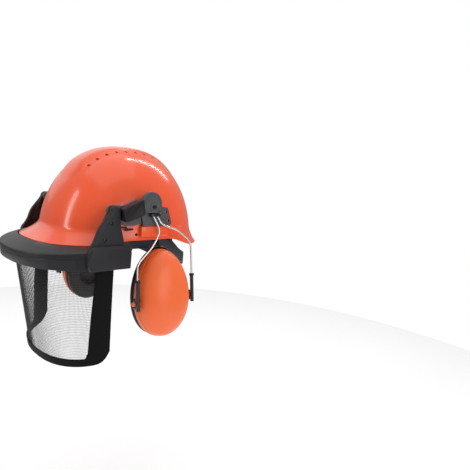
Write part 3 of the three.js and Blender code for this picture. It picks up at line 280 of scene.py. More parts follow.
def add_rod(axis, radius, ends, other, name="rod", sides=32):
    """A cylinder along X or Y: its two ends on that axis, and its place on the other two."""
    deselect()
    length, middle = (ends[1] - ends[0]) * MM, (ends[0] + ends[1]) / 2
    if axis == "X":
        spot, tilt = (middle, other[0], other[1]), (0, math.pi / 2, 0)
    else:
        spot, tilt = (other[0], middle, other[1]), (math.pi / 2, 0, 0)
    bpy.ops.mesh.primitive_cylinder_add(vertices=sides, radius=radius * MM, depth=length,
                                        location=Vector(spot) * MM, rotation=tilt)
    bpy.ops.object.transform_apply(location=True, rotation=True, scale=True)
    bpy.context.object.name = name
    return bpy.context.object


made = []


def finish_piece(piece, body, slot, finish, *nodes):
    """Gives a piece its finish, hides the nodes it stands for, and lets it ride on its body; slot is not used."""
    piece.data.materials.clear()
    piece.data.materials.append(finish)
    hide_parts(*nodes)
    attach(piece, body)
    made.append(piece)
    return piece


# %% [markdown]
# ## Finishes
# Moulded plastic is never one flat colour: it has a fine grain, a little flow variation, lighter rubbed
# edges and dust where it faces up. Those effects are node groups, built once and shared by the finishes.

# %% Node groups
def node_group(name, inputs, outputs):
    group = bpy.data.node_groups.new(name, "ShaderNodeTree")
    for label, value in inputs:
        socket = group.interface.new_socket(name=label, in_out="INPUT", socket_type="NodeSocketFloat")
        socket.default_value = value
    for label in outputs:
        group.interface.new_socket(name=label, in_out="OUTPUT", socket_type="NodeSocketFloat")
    return group, group.nodes.new("NodeGroupInput"), group.nodes.new("NodeGroupOutput")


def math_node(tree, operation, *values):
    node = tree.nodes.new("ShaderNodeMath")
    node.operation = operation
    for socket, value in zip(node.inputs, values):
        if isinstance(value, bpy.types.NodeSocket):
            tree.links.new(value, socket)
        else:
            socket.default_value = value
    return node.outputs[0]


def noise_node(tree, vector, scale, detail=3.0):
    node = tree.nodes.new("ShaderNodeTexNoise")
    tree.links.new(vector, node.inputs["Vector"])
    node.inputs["Detail"].default_value = detail
    if isinstance(scale, bpy.types.NodeSocket):
        tree.links.new(scale, node.inputs["Scale"])
    else:
        node.inputs["Scale"].default_value = scale
    return node.outputs["Fac"]


# Grain: a fine spark-eroded texture in Height, and slow flow marks in Tone.
grain, grain_in, grain_out = node_group("moulded_grain", [("Scale", 900.0), ("Flow", 14.0)], ["Height", "Tone"])
grain_at = grain.nodes.new("ShaderNodeTexCoord").outputs["Object"]
grain.links.new(noise_node(grain, grain_at, grain_in.outputs["Scale"], 2.0), grain_out.inputs["Height"])
grain.links.new(noise_node(grain, grain_at, grain_in.outputs["Flow"], 4.0), grain_out.inputs["Tone"])

# Edge wear: outer edges, broken up by noise.
wear, wear_in, wear_out = node_group("edge_wear", [("Start", 0.53), ("Patch", 120.0)], ["Mask"])
wear_at = wear.nodes.new("ShaderNodeTexCoord").outputs["Object"]
edge = wear.nodes.new("ShaderNodeMapRange")
wear.links.new(wear.nodes.new("ShaderNodeNewGeometry").outputs["Pointiness"], edge.inputs["Value"])
wear.links.new(wear_in.outputs["Start"], edge.inputs["From Min"])
edge.inputs["From Max"].default_value = 0.66
patches = noise_node(wear, wear_at, wear_in.outputs["Patch"], 5.0)
wear.links.new(math_node(wear, "MULTIPLY", edge.outputs["Result"], patches), wear_out.inputs["Mask"])

# Dust: settles where the surface faces up.
dust, dust_in, dust_out = node_group("settled_dust", [("Amount", 0.2)], ["Mask"])
dust_at = dust.nodes.new("ShaderNodeTexCoord").outputs["Object"]
split = dust.nodes.new("ShaderNodeSeparateXYZ")
dust.links.new(dust.nodes.new("ShaderNodeNewGeometry").outputs["Normal"], split.inputs["Vector"])
upward = math_node(dust, "POWER", math_node(dust, "MAXIMUM", split.outputs["Z"], 0.0), 3.0)
speckle = math_node(dust, "MULTIPLY", noise_node(dust, dust_at, 60.0, 8.0), dust_in.outputs["Amount"])
dust.links.new(math_node(dust, "MULTIPLY", upward, speckle), dust_out.inputs["Mask"])

# Weave: two sets of threads that pass over and under, along the piece's own UV map.
weave, weave_in, weave_out = node_group("plain_weave", [("Across", 24.0), ("Along", 200.0)], ["Height"])
threads = weave.nodes.new("ShaderNodeSeparateXYZ")
weave.links.new(weave.nodes.new("ShaderNodeTexCoord").outputs["UV"], threads.inputs["Vector"])
warp = math_node(weave, "SINE", math_node(weave, "MULTIPLY", threads.outputs["X"], weave_in.outputs["Along"]))
weft = math_node(weave, "SINE", math_node(weave, "MULTIPLY", threads.outputs["Y"], weave_in.outputs["Across"]))
weave.links.new(math_node(weave, "MULTIPLY", warp, weft), weave_out.inputs["Height"])
print([g.name for g in bpy.data.node_groups])

# %% [markdown]
# A finish is a Principled shader. Its base colour mixes the piece's colour, the rubbed edge and the dust,
# and its normal comes from the grain. Values that are the same all over sit on the shader's own sockets.

# %% Moulded plastic
def new_material(name, color, roughness, metallic=0.0, coat=0.0, specular=0.5):
    material = bpy.data.materials.new(name)
    material.use_nodes = True
    shader = material.node_tree.nodes["Principled BSDF"]
    shader.inputs["Base Color"].default_value = (*color, 1)
    shader.inputs["Roughness"].default_value = roughness
    shader.inputs["Metallic"].default_value = metallic
    shader.inputs["Coat Weight"].default_value = coat
    shader.inputs["Coat Roughness"].default_value = 0.08
    shader.inputs["Specular IOR Level"].default_value = specular
    return material, material.node_tree, shader


def use_group(tree, group, **values):
    node = tree.nodes.new("ShaderNodeGroup")
    node.node_tree = group
    for name, value in values.items():
        node.inputs[name].default_value = value
    return node


def mix_color(tree, share, first, second):
    node = tree.nodes.new("ShaderNodeMix")
    node.data_type = "RGBA"
    tree.links.new(share, node.inputs["Factor"])
    for socket, value in ((node.inputs[6], first), (node.inputs[7], second)):
        if isinstance(value, bpy.types.NodeSocket):
            tree.links.new(value, socket)
        else:
            socket.default_value = (*value, 1)
    return node.outputs[2]


def add_bump(tree, shader, height, distance, strength=1.0):
    bump = tree.nodes.new("ShaderNodeBump")
    bump.inputs["Distance"].default_value = distance * MM
    bump.inputs["Strength"].default_value = strength
    tree.links.new(height, bump.inputs["Height"])
    tree.links.new(bump.outputs["Normal"], shader.inputs["Normal"])


def vary_roughness(tree, shader, tone, low, high):
    spread = tree.nodes.new("ShaderNodeMapRange")
    spread.inputs["To Min"].default_value, spread.inputs["To Max"].default_value = low, high
    tree.links.new(tone, spread.inputs["Value"])
    tree.links.new(spread.outputs["Result"], shader.inputs["Roughness"])


DUST = (0.55, 0.52, 0.5)


def plastic(name, color, rubbed, roughness, scale, depth, dust_amount, coat=0.0, specular=0.5):
    """scale says how fine the moulded grain is, and depth how deep it is, in millimetres."""
    material, tree, shader = new_material(name, color, roughness, coat=coat, specular=specular)
    grains = use_group(tree, grain, Scale=scale)
    deep = tuple(c * 0.93 for c in color)
    flow = mix_color(tree, grains.outputs["Tone"], deep, tuple(min(1, c * 1.06) for c in color))
    worn = mix_color(tree, use_group(tree, wear).outputs["Mask"], flow, rubbed)
    dusty = mix_color(tree, use_group(tree, dust, Amount=dust_amount).outputs["Mask"], worn, DUST)
    tree.links.new(dusty, shader.inputs["Base Color"])
    vary_roughness(tree, shader, grains.outputs["Tone"], roughness - 0.05, roughness + 0.06)
    add_bump(tree, shader, grains.outputs["Height"], depth)
    return material


shell_orange = plastic("shell_orange", (0.97, 0.1, 0.02), (0.97, 0.24, 0.12), 0.2, 260, 0.02, 0.03, coat=0.25)
cup_orange = plastic("cup_orange", (0.98, 0.155, 0.035), (0.98, 0.3, 0.15), 0.36, 900, 0.03, 0.03)
# The guard, cover and hardware greys below are one dark grey plastic in three tones. The guard's and the cover's
# colours are darkened with painted shade, and the hardware's, worn by the brackets, mounts and arm discs, is
# lightened with painted light.
guard_grey = plastic("guard_grey", (0.017, 0.016, 0.019), (0.034, 0.033, 0.038), 0.42, 1100, 0.05, 0.05,
                     specular=0.3)
shaded_cover_grey = plastic("shaded_cover_grey", (0.013, 0.013, 0.014), (0.022, 0.022, 0.024), 0.4, 1100, 0.05, 0.03,
                     specular=0.25)
lit_hardware_grey = plastic("lit_hardware_grey", (0.08, 0.078, 0.086), (0.11, 0.108, 0.118), 0.36, 1100, 0.04, 0.05,
                        specular=0.4)
black_plastic = plastic("black_plastic", (0.005, 0.005, 0.0055), (0.015, 0.015, 0.016), 0.16, 1000, 0.02, 0.0)
visor_border = plastic("visor_border", (0.005, 0.005, 0.0052), (0.01, 0.01, 0.01), 0.62, 1400, 0.05, 0.0,
                       specular=0.1)
harness_plastic = plastic("harness_plastic", (0.02, 0.023, 0.03), (0.08, 0.085, 0.09), 0.48, 900, 0.03, 0.08)
print(len(bpy.data.materials), "finishes so far")

# %% [markdown]
# Metal wire is bright and nearly clean. The woven screen is thin painted wire, so it stays dark and a
# little rough. Its colour varies slightly from wire to wire.

# %% Wire and screen
BRIGHT, DULLED = (0.74, 0.75, 0.77), (0.5, 0.5, 0.52)
steel_wire, tree, shader = new_material("steel_wire", BRIGHT, 0.16, metallic=1.0)
grains = use_group(tree, grain, Scale=2500.0, Flow=60.0)
vary_roughness(tree, shader, grains.outputs["Tone"], 0.1, 0.26)
add_bump(tree, shader, grains.outputs["Height"], 0.006)
worn = mix_color(tree, use_group(tree, wear, Patch=300.0).outputs["Mask"], BRIGHT, DULLED)
tree.links.new(worn, shader.inputs["Base Color"])

mesh_screen, tree, shader = new_material("mesh_screen", (0.06, 0.06, 0.064), 0.5)
grains = use_group(tree, grain, Scale=1500.0, Flow=25.0)
tree.links.new(mix_color(tree, grains.outputs["Tone"], (0.02, 0.02, 0.021), (0.05, 0.05, 0.053)),
               shader.inputs["Base Color"])
vary_roughness(tree, shader, grains.outputs["Tone"], 0.35, 0.6)
add_bump(tree, shader, grains.outputs["Height"], 0.01)
print("wire and screen")

# %% [markdown]
# Soft finishes: the cradle tape shows its weave, the sweatband a brushed knit with breathing holes, the ear
# cushion a thin creased skin, and the foam its open cells.

# %% Soft finishes
def soft(name, color, light, roughness, sheen):
    material, tree, shader = new_material(name, color, roughness, specular=0.3)
    shader.inputs["Sheen Weight"].default_value = sheen
    shader.inputs["Sheen Roughness"].default_value = 0.5
    grains = use_group(tree, grain, Scale=700.0, Flow=45.0)
    tree.links.new(mix_color(tree, grains.outputs["Tone"], color, light), shader.inputs["Base Color"])
    vary_roughness(tree, shader, grains.outputs["Tone"], roughness - 0.08, roughness + 0.05)
    return material, tree, shader, grains


def cell_node(tree, scale):
    node = tree.nodes.new("ShaderNodeTexVoronoi")
    node.inputs["Scale"].default_value = scale
    tree.links.new(tree.nodes.new("ShaderNodeTexCoord").outputs["Object"], node.inputs["Vector"])
    return node


webbing, tree, shader, grains = soft("webbing", (0.035, 0.036, 0.04), (0.08, 0.08, 0.088), 0.85, 0.3)
add_bump(tree, shader, use_group(tree, weave, Across=70.0, Along=700.0).outputs["Height"], 0.25)

fleece, tree, shader, grains = soft("fleece", (0.018, 0.018, 0.021), (0.05, 0.05, 0.056), 0.9, 0.6)
holes = cell_node(tree, 210)
holes.inputs["Randomness"].default_value = 0.15
pits = math_node(tree, "MINIMUM", holes.outputs["Distance"], 0.35)
fuzz = math_node(tree, "MULTIPLY", grains.outputs["Height"], 0.3)
add_bump(tree, shader, math_node(tree, "ADD", pits, fuzz), 1.2)

cushion_skin, tree, shader, grains = soft("cushion_skin", (0.008, 0.007, 0.0075), (0.022, 0.02, 0.021), 0.42, 0.0)
creases = cell_node(tree, 520)
creases.feature = "DISTANCE_TO_EDGE"
add_bump(tree, shader, math_node(tree, "MINIMUM", creases.outputs["Distance"], 0.12), 0.5, 0.6)

foam, tree, shader, grains = soft("foam", (0.035, 0.035, 0.04), (0.075, 0.075, 0.085), 0.95, 0.2)
add_bump(tree, shader, cell_node(tree, 600).outputs["Distance"], 0.8, 0.8)
print(len(bpy.data.materials), "finishes in all")

# %% [markdown]
# ## The shell's surface
# The real shell is one injection moulding: a rounded dome that flares into a peak in front and a nape lip
# behind. The dome is a superellipse in plan that shrinks towards the crown, and the same few numbers as
# the frame's give it here, so the smooth surface lies on the frame's faceted one.

# %% Shell formulas
HALF_WIDTH, FRONT, REAR, HEIGHT, WALL = 106, 110, 140, 141, 2.6
CROWN_SHIFT, PEAK_FRONT, PEAK_HALF, NAPE_REAR, NAPE_HALF = 16, 138, 108, 158, 107
FLARE_ROOT_Z, OUTLINE_POWER, PEAK_POWER, DOME_POWER, DOME_ROUNDNESS = 20, 2.3, 2.6, 1.86, 2.37
RIM_FRONT_Z, RIM_SIDE_Z, RIM_REAR_Z = -2, 4, -12


def signed_power(value, power):
    return np.sign(value) * np.abs(value) ** power


def smoothstep(value, low, high):
    share = np.clip((value - low) / (high - low), 0, 1)
    return share * share * (3 - 2 * share)


def mix(a, b, share):
    return a + (b - a) * share


def oval(angle, half_width, front, rear, power):
    across, along = signed_power(np.sin(angle), 2 / power), signed_power(np.cos(angle), 2 / power)
    return half_width * across, -np.where(along > 0, front, rear) * along


def shrink(z):
    return (1 - (np.clip(z, 0, HEIGHT) / HEIGHT) ** DOME_POWER) ** (1 / DOME_ROUNDNESS)


def dome_at(angle, z):
    x, y = oval(angle, HALF_WIDTH, FRONT, REAR, OUTLINE_POWER)
    scale = shrink(z)
    return x * scale, (y - CROWN_SHIFT) * scale + CROWN_SHIFT, z


def rim_at(angle):
    away = np.abs(np.degrees(angle))
    front_z = mix(RIM_FRONT_Z, RIM_SIDE_Z, smoothstep(away, 58, 80))
    z = mix(front_z, RIM_REAR_Z, smoothstep(away, 104, 134))
    x, y, _ = dome_at(angle, z)
    peak_x, peak_y = oval(angle, PEAK_HALF, PEAK_FRONT, PEAK_FRONT, PEAK_POWER)
    nape_x, nape_y = oval(angle, NAPE_HALF, NAPE_REAR, NAPE_REAR, OUTLINE_POWER)
    peak, nape = 1 - smoothstep(away, 58, 68), smoothstep(away, 100, 145)
    return (mix(mix(x, peak_x, peak), nape_x, nape), mix(mix(y, peak_y, peak), nape_y, nape), z)


def shell_at(angle, u):
    """u is 0 at the rim, 1 where the flare meets the dome and 2 at the crown."""
    rim_x, rim_y, rim_z = rim_at(angle)
    low_z = mix(rim_z, FLARE_ROOT_Z, np.clip(u, 0, 1))
    high_z = mix(FLARE_ROOT_Z, HEIGHT, np.sin(np.clip(u - 1, 0, 1) * np.pi / 2))
    z = np.where(u < 1, low_z, high_z)
    share = np.clip(1 - u, 0, 1) ** 1.9
    x, y, _ = dome_at(angle, z)
    return mix(x, rim_x, share), mix(y, rim_y, share), z


print("shell half width at the rim", round(float(shell_at(np.array(np.pi / 2), np.array(0.0))[0]), 1), "mm")

# %% [markdown]
# The dome starts as a flat grid that is wrapped round, welded where its ends meet and at the crown, and
# given its wall by Solidify. Rings stand closer together at the rim, where the flare bends most.

# %% Dome
def dome_place(across, up):
    angle = (across * 2 - 1) * np.pi
    u = np.where(up < 0.3, up / 0.3, 1 + np.sin(np.clip(up - 0.3, 0, 1) / 0.7 * np.pi / 2) ** 1.15)
    return shell_at(angle, np.minimum(u, 2))


dome = wrap(grid("shell", 200, 64), dome_place)
in_edit_mode(dome, lambda: weld(2e-5), outwards)
turn_out(dome, (0, 0, 40))
thicken(dome, WALL, use_even_offset=True)
round_edges(dome, 0.9, 50, 3)
print("dome", len(dome.data.polygons), "faces")

# %% [markdown]
# The crest is a band that stands about 3 mm proud along the crown, with a riser on each side. It is a
# second sheet over the dome, thickened and joined to it by a Boolean union. It fades out at the front.

# %% Crest
CREST_HALF, CREST_SLOPE, CREST_RISE, CREST_FROM, CREST_TO = 24, 11, 3.2, 36, 172


def ridge_at(x, angle):
    """The dome's points in the planes x, on rays that rise at an angle from the forehead."""
    low, high = np.zeros_like(x), np.full_like(x, 2.0 * REAR)
    for _ in range(40):
        reach = (low + high) / 2
        scale = np.maximum(shrink(np.sin(angle) * reach), 1e-6)
        y = -np.cos(angle) * reach / scale + CROWN_SHIFT
        size = (np.abs(y / np.where(y < 0, FRONT, REAR)) ** OUTLINE_POWER
                + np.abs(x / (HALF_WIDTH * scale)) ** OUTLINE_POWER)
        outside = (size > 1) | (np.sin(angle) * reach >= HEIGHT)
        low, high = np.where(outside, low, reach), np.where(outside, reach, high)
    return np.stack([x, CROWN_SHIFT - np.cos(angle) * low, np.sin(angle) * low], axis=-1)


def ridge_normal(x, angle):
    along = ridge_at(x, angle + 0.02) - ridge_at(x, angle - 0.02)
    across = ridge_at(x + 1, angle) - ridge_at(x - 1, angle)
    normal = np.cross(across, along)
    return normal / np.linalg.norm(normal, axis=-1, keepdims=True)


CREST_STEPS = np.array([-35.6, -33, -29, -26, -24.6, -24, -23.2, -21.5, -16, -9, 0,
                        9, 16, 21.5, 23.2, 24, 24.6, 26, 29, 33, 35.6])


def crest_place(across, up):
    x = CREST_STEPS[np.rint(across * (len(CREST_STEPS) - 1)).astype(int)]
    turn = CREST_FROM + (CREST_TO - CREST_FROM) * up
    rise = smoothstep(turn, CREST_FROM, CREST_FROM + 22)
    beside = np.clip((np.abs(x) - CREST_HALF) / CREST_SLOPE, 0, 1)
    height = CREST_RISE * (1.05 - 0.12 * (x / CREST_HALF) ** 2) * (1 - beside ** 0.8) - 1.0 * beside
    height = np.where(height > 0, mix(-1.0, height, rise), height)
    point = ridge_at(x, np.radians(turn)) + ridge_normal(x, np.radians(turn)) * height[:, None]
    return point[:, 0], point[:, 1], point[:, 2]


crest = wrap(grid("crest", len(CREST_STEPS) - 1, 150), crest_place)
turn_out(crest, (0, 16, 40))
thicken(crest, 2.0)
boolean(dome, crest, "UNION")
print("dome and crest", len(dome.data.polygons), "faces")

# %% [markdown]
# The vents are twelve rounded slots through each riser. One cutter box is rounded, copied to each place,
# and all copies are cut away at once. The accessory slot on each side is a rounded block with a pocket.

# %% Vents
VENTS_A_SIDE, VENT_FROM, VENT_TO, VENT_OFFSET, VENT_LENGTH, VENT_WIDTH = 12, 55, 135, 9.0, 6.5, 4.4
vents = []
for side in (-1, 1):
    for turn in np.linspace(VENT_FROM, VENT_TO, VENTS_A_SIDE):
        angle = np.array([math.radians(turn)])
        x = np.array([side * (CREST_HALF + VENT_OFFSET)])
        middle, up = Vector(ridge_at(x, angle)[0]), Vector(ridge_normal(x, angle)[0])
        along = Vector((ridge_at(x, angle + 0.02) - ridge_at(x, angle - 0.02))[0]).normalized()
        corner = np.array((VENT_LENGTH / 2, VENT_WIDTH / 2, 8))
        cutter = add_box(-corner, corner, "vent_cutter")
        modify(cutter, "BEVEL", width=1.5 * MM, segments=3, limit_method="ANGLE")
        frame_of_vent = Matrix((along.cross(up).normalized(), along, up)).transposed().to_4x4()
        cutter.data.transform(Matrix.Translation(middle * MM) @ frame_of_vent)
        vents.append(cutter)
print(len(vents), "vents")
vents = joined(*vents)

# %% Slot blocks, and cutting the shell
PLATE_X, TONGUE_THICK, FIT_GAP, BOSS_WALL, SLOT_Y = 106.4, 2.8, 0.3, 2, 10
BOSS_OUTER_X = PLATE_X + TONGUE_THICK + 2 * FIT_GAP + BOSS_WALL
bump_x, bump_y, bump_z = (float(v) for v in dome_at(math.radians(118), 20.0))
for side in (-1, 1):
    block = add_box((101 * side, SLOT_Y - 24, 10), (BOSS_OUTER_X * side, SLOT_Y + 24, 26), "slot_block")
    modify(block, "BEVEL", width=1.4 * MM, segments=3, limit_method="ANGLE")
    boolean(dome, block, "UNION")
    deselect()
    bpy.ops.mesh.primitive_uv_sphere_add(segments=24, ring_count=12, radius=MM,
                                         location=Vector((side * (bump_x - 1.5), bump_y, bump_z)) * MM)
    bpy.ops.transform.resize(value=(4, 7, 4))
    bpy.ops.object.transform_apply(location=True, rotation=True, scale=True)
    boolean(dome, bpy.context.object, "UNION")
boolean(dome, vents, "DIFFERENCE")
for side in (-1, 1):
    pocket = add_box((106.1 * side, SLOT_Y - 22, 12), (109.5 * side, SLOT_Y + 22, 30), "pocket")
    boolean(dome, pocket, "DIFFERENCE")
    hole = add_rod("X", 2.6, (100 * side, 115 * side), (-18, 13), "hole")
    boolean(dome, hole, "DIFFERENCE")
smooth(dome, 32)
finish_piece(dome, "helmet", "shell_orange", shell_orange, "shell")
print("shell", len(dome.data.polygons), "faces", [round(d * 1000) for d in dome.dimensions], "mm")

# %% [markdown]
# ## The head harness
# The headband and nape straps are thin moulded strips, the sweatband is a soft pad clipped inside, and two
# woven tapes cross over the head. A strip is a grid wrapped along its route, with its wall from Solidify.

# %% Headband and sweatband
BAND_HALF_WIDTH, BAND_HALF_LENGTH, BAND_CENTRE_Y, BAND_THICK, BAND_LOW, BAND_HIGH = 79, 98, 10, 2.2, -14, 20


def band_at(angle, offset=0.0):
    half_length = BAND_HALF_LENGTH + offset
    x, y = oval(angle, BAND_HALF_WIDTH + offset, half_length, half_length, 2.1)
    return x, y + BAND_CENTRE_Y


def band_place(end, offset):
    def place(across, up):
        x, y = band_at(np.radians(end) * (across * 2 - 1), offset)
        return x, y, mix(BAND_LOW, BAND_HIGH, up)
    return place


def in_slot(face):
    """The size slots: every third six-degree step of the band, in a strip along its middle."""
    turn = math.degrees(math.atan2(face.center.x, -face.center.y)) + 180
    return abs(face.center.z / MM - 3) < 5 and int(turn / 6) % 3 == 0


headband = wrap(grid("headband", 128, 8), band_place(128, BAND_THICK))
slot_faces = delete_faces(headband, in_slot)
turn_out(headband, (0, BAND_CENTRE_Y, 0))
thicken(headband, BAND_THICK)
soften(headband, 0.4)
finish_piece(headband, "helmet", "harness_plastic", harness_plastic, "headband")

sweatband = wrap(grid("sweatband", 96, 16), band_place(72, -0.5))
turn_out(sweatband, (0, BAND_CENTRE_Y, 0))
thicken(sweatband, 3.6)
round_edges(sweatband, 1.5, 50, 3)
smooth(sweatband, 60)
finish_piece(sweatband, "helmet", "fleece", fleece, "sweatband")
print("headband with", slot_faces, "slot faces cut, sweatband", len(sweatband.data.polygons), "faces")

# %% [markdown]
# Each cradle tape runs from a clip over the crown to the clip opposite, flat and taut. Its UV map comes
# with the grid it starts from, and the weave follows that map along the tape.

# %% Cradle tapes and clips
CLIP_ANGLE, TAPE_LOW, TAPE_TOP, TAPE_WIDTH, TAPE_THICK = 48, 34.6, 108, 20, 1.6


def facing(turn):
    """A point of the band, and the direction out of the head there."""
    here, after = (Vector((*(float(v) for v in band_at(math.radians(a))), 0)) for a in (turn, turn + 1))
    out = Vector((0, 0, 1)).cross((after - here).normalized()) * -1
    if out.dot(here - Vector((0, BAND_CENTRE_Y, 0))) < 0:
        out = -out
    return here, out


def tape_place(turn, lift):
    (here, out), (there, back) = facing(turn), facing(turn - 180 if turn > 0 else turn + 180)
    start, end = here + out * 2.5, there + back * 2.5
    chord = end - start
    side = Vector((0, 0, 1)).cross(chord).normalized()

    def place(across, up):
        rising = np.pi * up
        share = 0.5 - 0.5 * signed_power(np.cos(rising), 0.9)
        height = TAPE_LOW + (TAPE_TOP + lift - TAPE_LOW) * np.sin(rising) ** 0.8
        width = (across - 0.5) * TAPE_WIDTH
        return (start.x + chord.x * share + side.x * width, start.y + chord.y * share + side.y * width,
                height + TAPE_THICK * 0.9)
    return place


for name, turn, lift in (("cradle_tape_lower", CLIP_ANGLE, 0.0),
                         ("cradle_tape_upper", -CLIP_ANGLE, TAPE_THICK + 1.2)):
    tape = wrap(grid(name, 10, 90), tape_place(turn, lift))
    turn_out(tape, (0, BAND_CENTRE_Y, 20))
    thicken(tape, TAPE_THICK * 0.8)
    soften(tape, 0.3)
    finish_piece(tape, "helmet", "webbing", webbing, name.replace("tape", "strap"))
for spot in ("front_left", "front_right", "rear_left", "rear_right"):
    clip = from_frame("clip_" + spot, "harness_clip_" + spot, 0.7)
    finish_piece(clip, "helmet", "harness_plastic", harness_plastic, "harness_clip_" + spot)
print("two tapes and four clips")

# %% [markdown]
# The nape ratchet closes the band: a knob turns a small gear between two toothed straps. The knob's grip
# is a ring of ridges, made by extruding groups of facets of a cylinder.

# %% Nape ratchet
NAPE_Z, KNOB_RADIUS, RIDGE_HEIGHT, KNOB_FROM, KNOB_DEPTH = -48, 15, 1.3, 126.8, 11
for name, body in (("nape_strap_left", "left_nape"), ("nape_strap_right", "right_nape")):
    strap = from_frame(name + "_strip", name, 0.3, 40)
    finish_piece(strap, body, "harness_plastic", harness_plastic, name)
housing = from_frame("ratchet_case", "ratchet_housing", 1.6, 40)
finish_piece(housing, "helmet", "black_plastic", black_plastic, "ratchet_housing")
pinion = from_frame("ratchet_gear", "ratchet_pinion", 0.12, 30)
finish_piece(pinion, "knob", "black_plastic", black_plastic, "ratchet_pinion")

knob = add_rod("Y", KNOB_RADIUS - RIDGE_HEIGHT, (KNOB_FROM, KNOB_FROM + KNOB_DEPTH), (0, NAPE_Z),
               "ratchet_dial", 72)


def in_ridge(face):
    """Half of every thirty-degree step round the dial's side."""
    turn = math.degrees(math.atan2(face.center.z - NAPE_Z * MM, face.center.x)) % 30
    return abs(face.normal.y) < 0.5 and turn < 15


select_faces(knob, in_ridge)
bpy.ops.mesh.extrude_region_shrink_fatten(TRANSFORM_OT_shrink_fatten={"value": RIDGE_HEIGHT * MM})
close_edit_mode()
select_faces(knob, lambda face: face.normal.y > 0.9 and face.area > 1e-4)
bpy.ops.mesh.inset(thickness=3.2 * MM)
bpy.ops.mesh.extrude_region_move(TRANSFORM_OT_translate={"value": (0, -1.6 * MM, 0)})
close_edit_mode()
soften(knob, 0.5, 35)
finish_piece(knob, "knob", "black_plastic", black_plastic, "ratchet_knob")
print("ratchet knob", len(knob.data.polygons), "faces")

# %% [markdown]
# ## The brow guard
# The guard is one hollow moulding that wraps the peak: a sloping top, a face with a shallow groove, and an
# arm at each temple that rises to the hinge. Its section is swept round an oval, and its ends are capped.

# %% Brow guard
GUARD_HALF, GUARD_FRONT, GUARD_CENTRE_Y, GUARD_POWER = 123.5, 164.5, -44, 2.43
GUARD_LIP_Z, GUARD_WALL, GUARD_END, SEAT_GAP, SEAT_Z, UNDER_Z = -33.5, 3, 92, 1.2, -1.8, -6.8


def guard_at(angle, inset):
    front = GUARD_FRONT + GUARD_CENTRE_Y
    x, y = oval(angle, GUARD_HALF - inset, front - inset, front - inset, GUARD_POWER)
    return x, y + GUARD_CENTRE_Y


def seat_inset(angle):
    """How far in from the guard's outline the peak's edge lies, less a small gap."""
    low, high = np.zeros_like(angle), np.full_like(angle, GUARD_HALF / 2)
    for _ in range(30):
        inset = (low + high) / 2
        x, y = guard_at(angle, inset)
        outside = (np.abs(x / (PEAK_HALF + SEAT_GAP)) ** PEAK_POWER
                   + np.abs(y / (PEAK_FRONT + SEAT_GAP)) ** PEAK_POWER) > 1
        low, high = np.where(outside, inset, low), np.where(outside, high, inset)
    return low


def guard_section(angle):
    """(inset, z) pairs of the section at one angle, from the top's outer edge round to its inner edge."""
    edge = -1.4 + 0.1 * (guard_at(angle, 0)[1] - GUARD_CENTRE_Y)
    seat, full = seat_inset(angle), np.ones_like(angle)
    low = np.minimum(edge, UNDER_Z) - GUARD_WALL
    top, under = SEAT_Z * full, UNDER_Z * full
    return [(seat + 0.0, top - 0.8), (seat - 0.6, top - 0.1), (seat - 1.4, top),
            (mix(seat, 1.7, 0.5), mix(top, edge + 0.5, 0.5) + 0.5),
            (3.4 * full, edge + 1.1), (1.5 * full, edge + 0.3), (0.45 * full, edge - 0.5),
            (0 * full, edge - 1.8), (0.1 * full, edge - 5.6), (0.5 * full, edge - 6.2),
            (1.3 * full, edge - 6.6), (1.4 * full, edge - 7.6), (1.0 * full, edge - 8.2),
            (0.65 * full, edge - 8.9), (1.7 * full, (GUARD_LIP_Z + 0.9) * full),
            (2.2 * full, (GUARD_LIP_Z + 0.2) * full), (3 * full, GUARD_LIP_Z * full),
            ((1.2 + GUARD_WALL) * full, (GUARD_LIP_Z + 0.5) * full), ((1.4 + GUARD_WALL) * full, low - 2),
            ((2.2 + GUARD_WALL) * full, low - 1), (seat + 3.4, under - GUARD_WALL),
            (seat + 4, under - GUARD_WALL + 0.7), (seat + 4, under - 0.7), (seat + 3.3, under),
            (seat + 0.2, under + 0.4)]


GUARD_POINTS = 25


def guard_place(across, up):
    angle = np.radians(GUARD_END) * (across * 2 - 1)
    row = np.rint(up * GUARD_POINTS).astype(int) % GUARD_POINTS
    pairs = np.array(guard_section(angle))
    inset, z = pairs[row, 0, np.arange(len(angle))], pairs[row, 1, np.arange(len(angle))]
    x, y = guard_at(angle, inset)
    return x, y, z


def tube_from(name, columns, points, place):
    """A tube with closed ends: a grid wrapped round a section, welded, and filled at its two ends."""
    tube = wrap(grid(name, columns, points), place)
    in_edit_mode(tube, weld, fill_ends, outwards)
    return tube


guard = tube_from("brow_guard_moulding", 150, GUARD_POINTS, guard_place)
print("guard sweep", len(guard.data.polygons), "faces")

# %% [markdown]
# A flat plate with a drawn outline starts as a circle with one point for each corner of the outline. It
# is filled, extruded to its thickness, and its edges are rounded.

# %% Plates
def slab(name, outline, x0, x1, rounding, angle=30):
    """A plate whose outline is drawn in (y, z), between two places on X."""
    deselect()
    bpy.ops.mesh.primitive_circle_add(vertices=len(outline), radius=1, fill_type="NGON")
    piece = bpy.context.object
    piece.name = piece.data.name = name
    for vertex, (y, z) in zip(piece.data.vertices, outline):
        vertex.co = Vector((x0, y, z)) * MM
    push = {"value": ((x1 - x0) * MM, 0, 0)}
    in_edit_mode(piece, lambda: bpy.ops.mesh.extrude_region_move(TRANSFORM_OT_translate=push),
                 lambda: bpy.ops.mesh.select_all(action="SELECT"), outwards)
    return soften(piece, rounding, angle, 3)


def rounded(corners, radius=4.0, steps=4):
    """A closed outline with each corner turned into a short curve."""
    smooth_outline = []
    for i, corner in enumerate(corners):
        here = Vector(corner)
        before, after = Vector(corners[i - 1]), Vector(corners[(i + 1) % len(corners)])
        first = here + (before - here).normalized() * min(radius, (before - here).length * 0.45)
        last = here + (after - here).normalized() * min(radius, (after - here).length * 0.45)
        for step in range(steps + 1):
            t = step / steps
            smooth_outline.append(tuple(first * (1 - t) ** 2 + here * 2 * t * (1 - t) + last * t * t))
    return smooth_outline


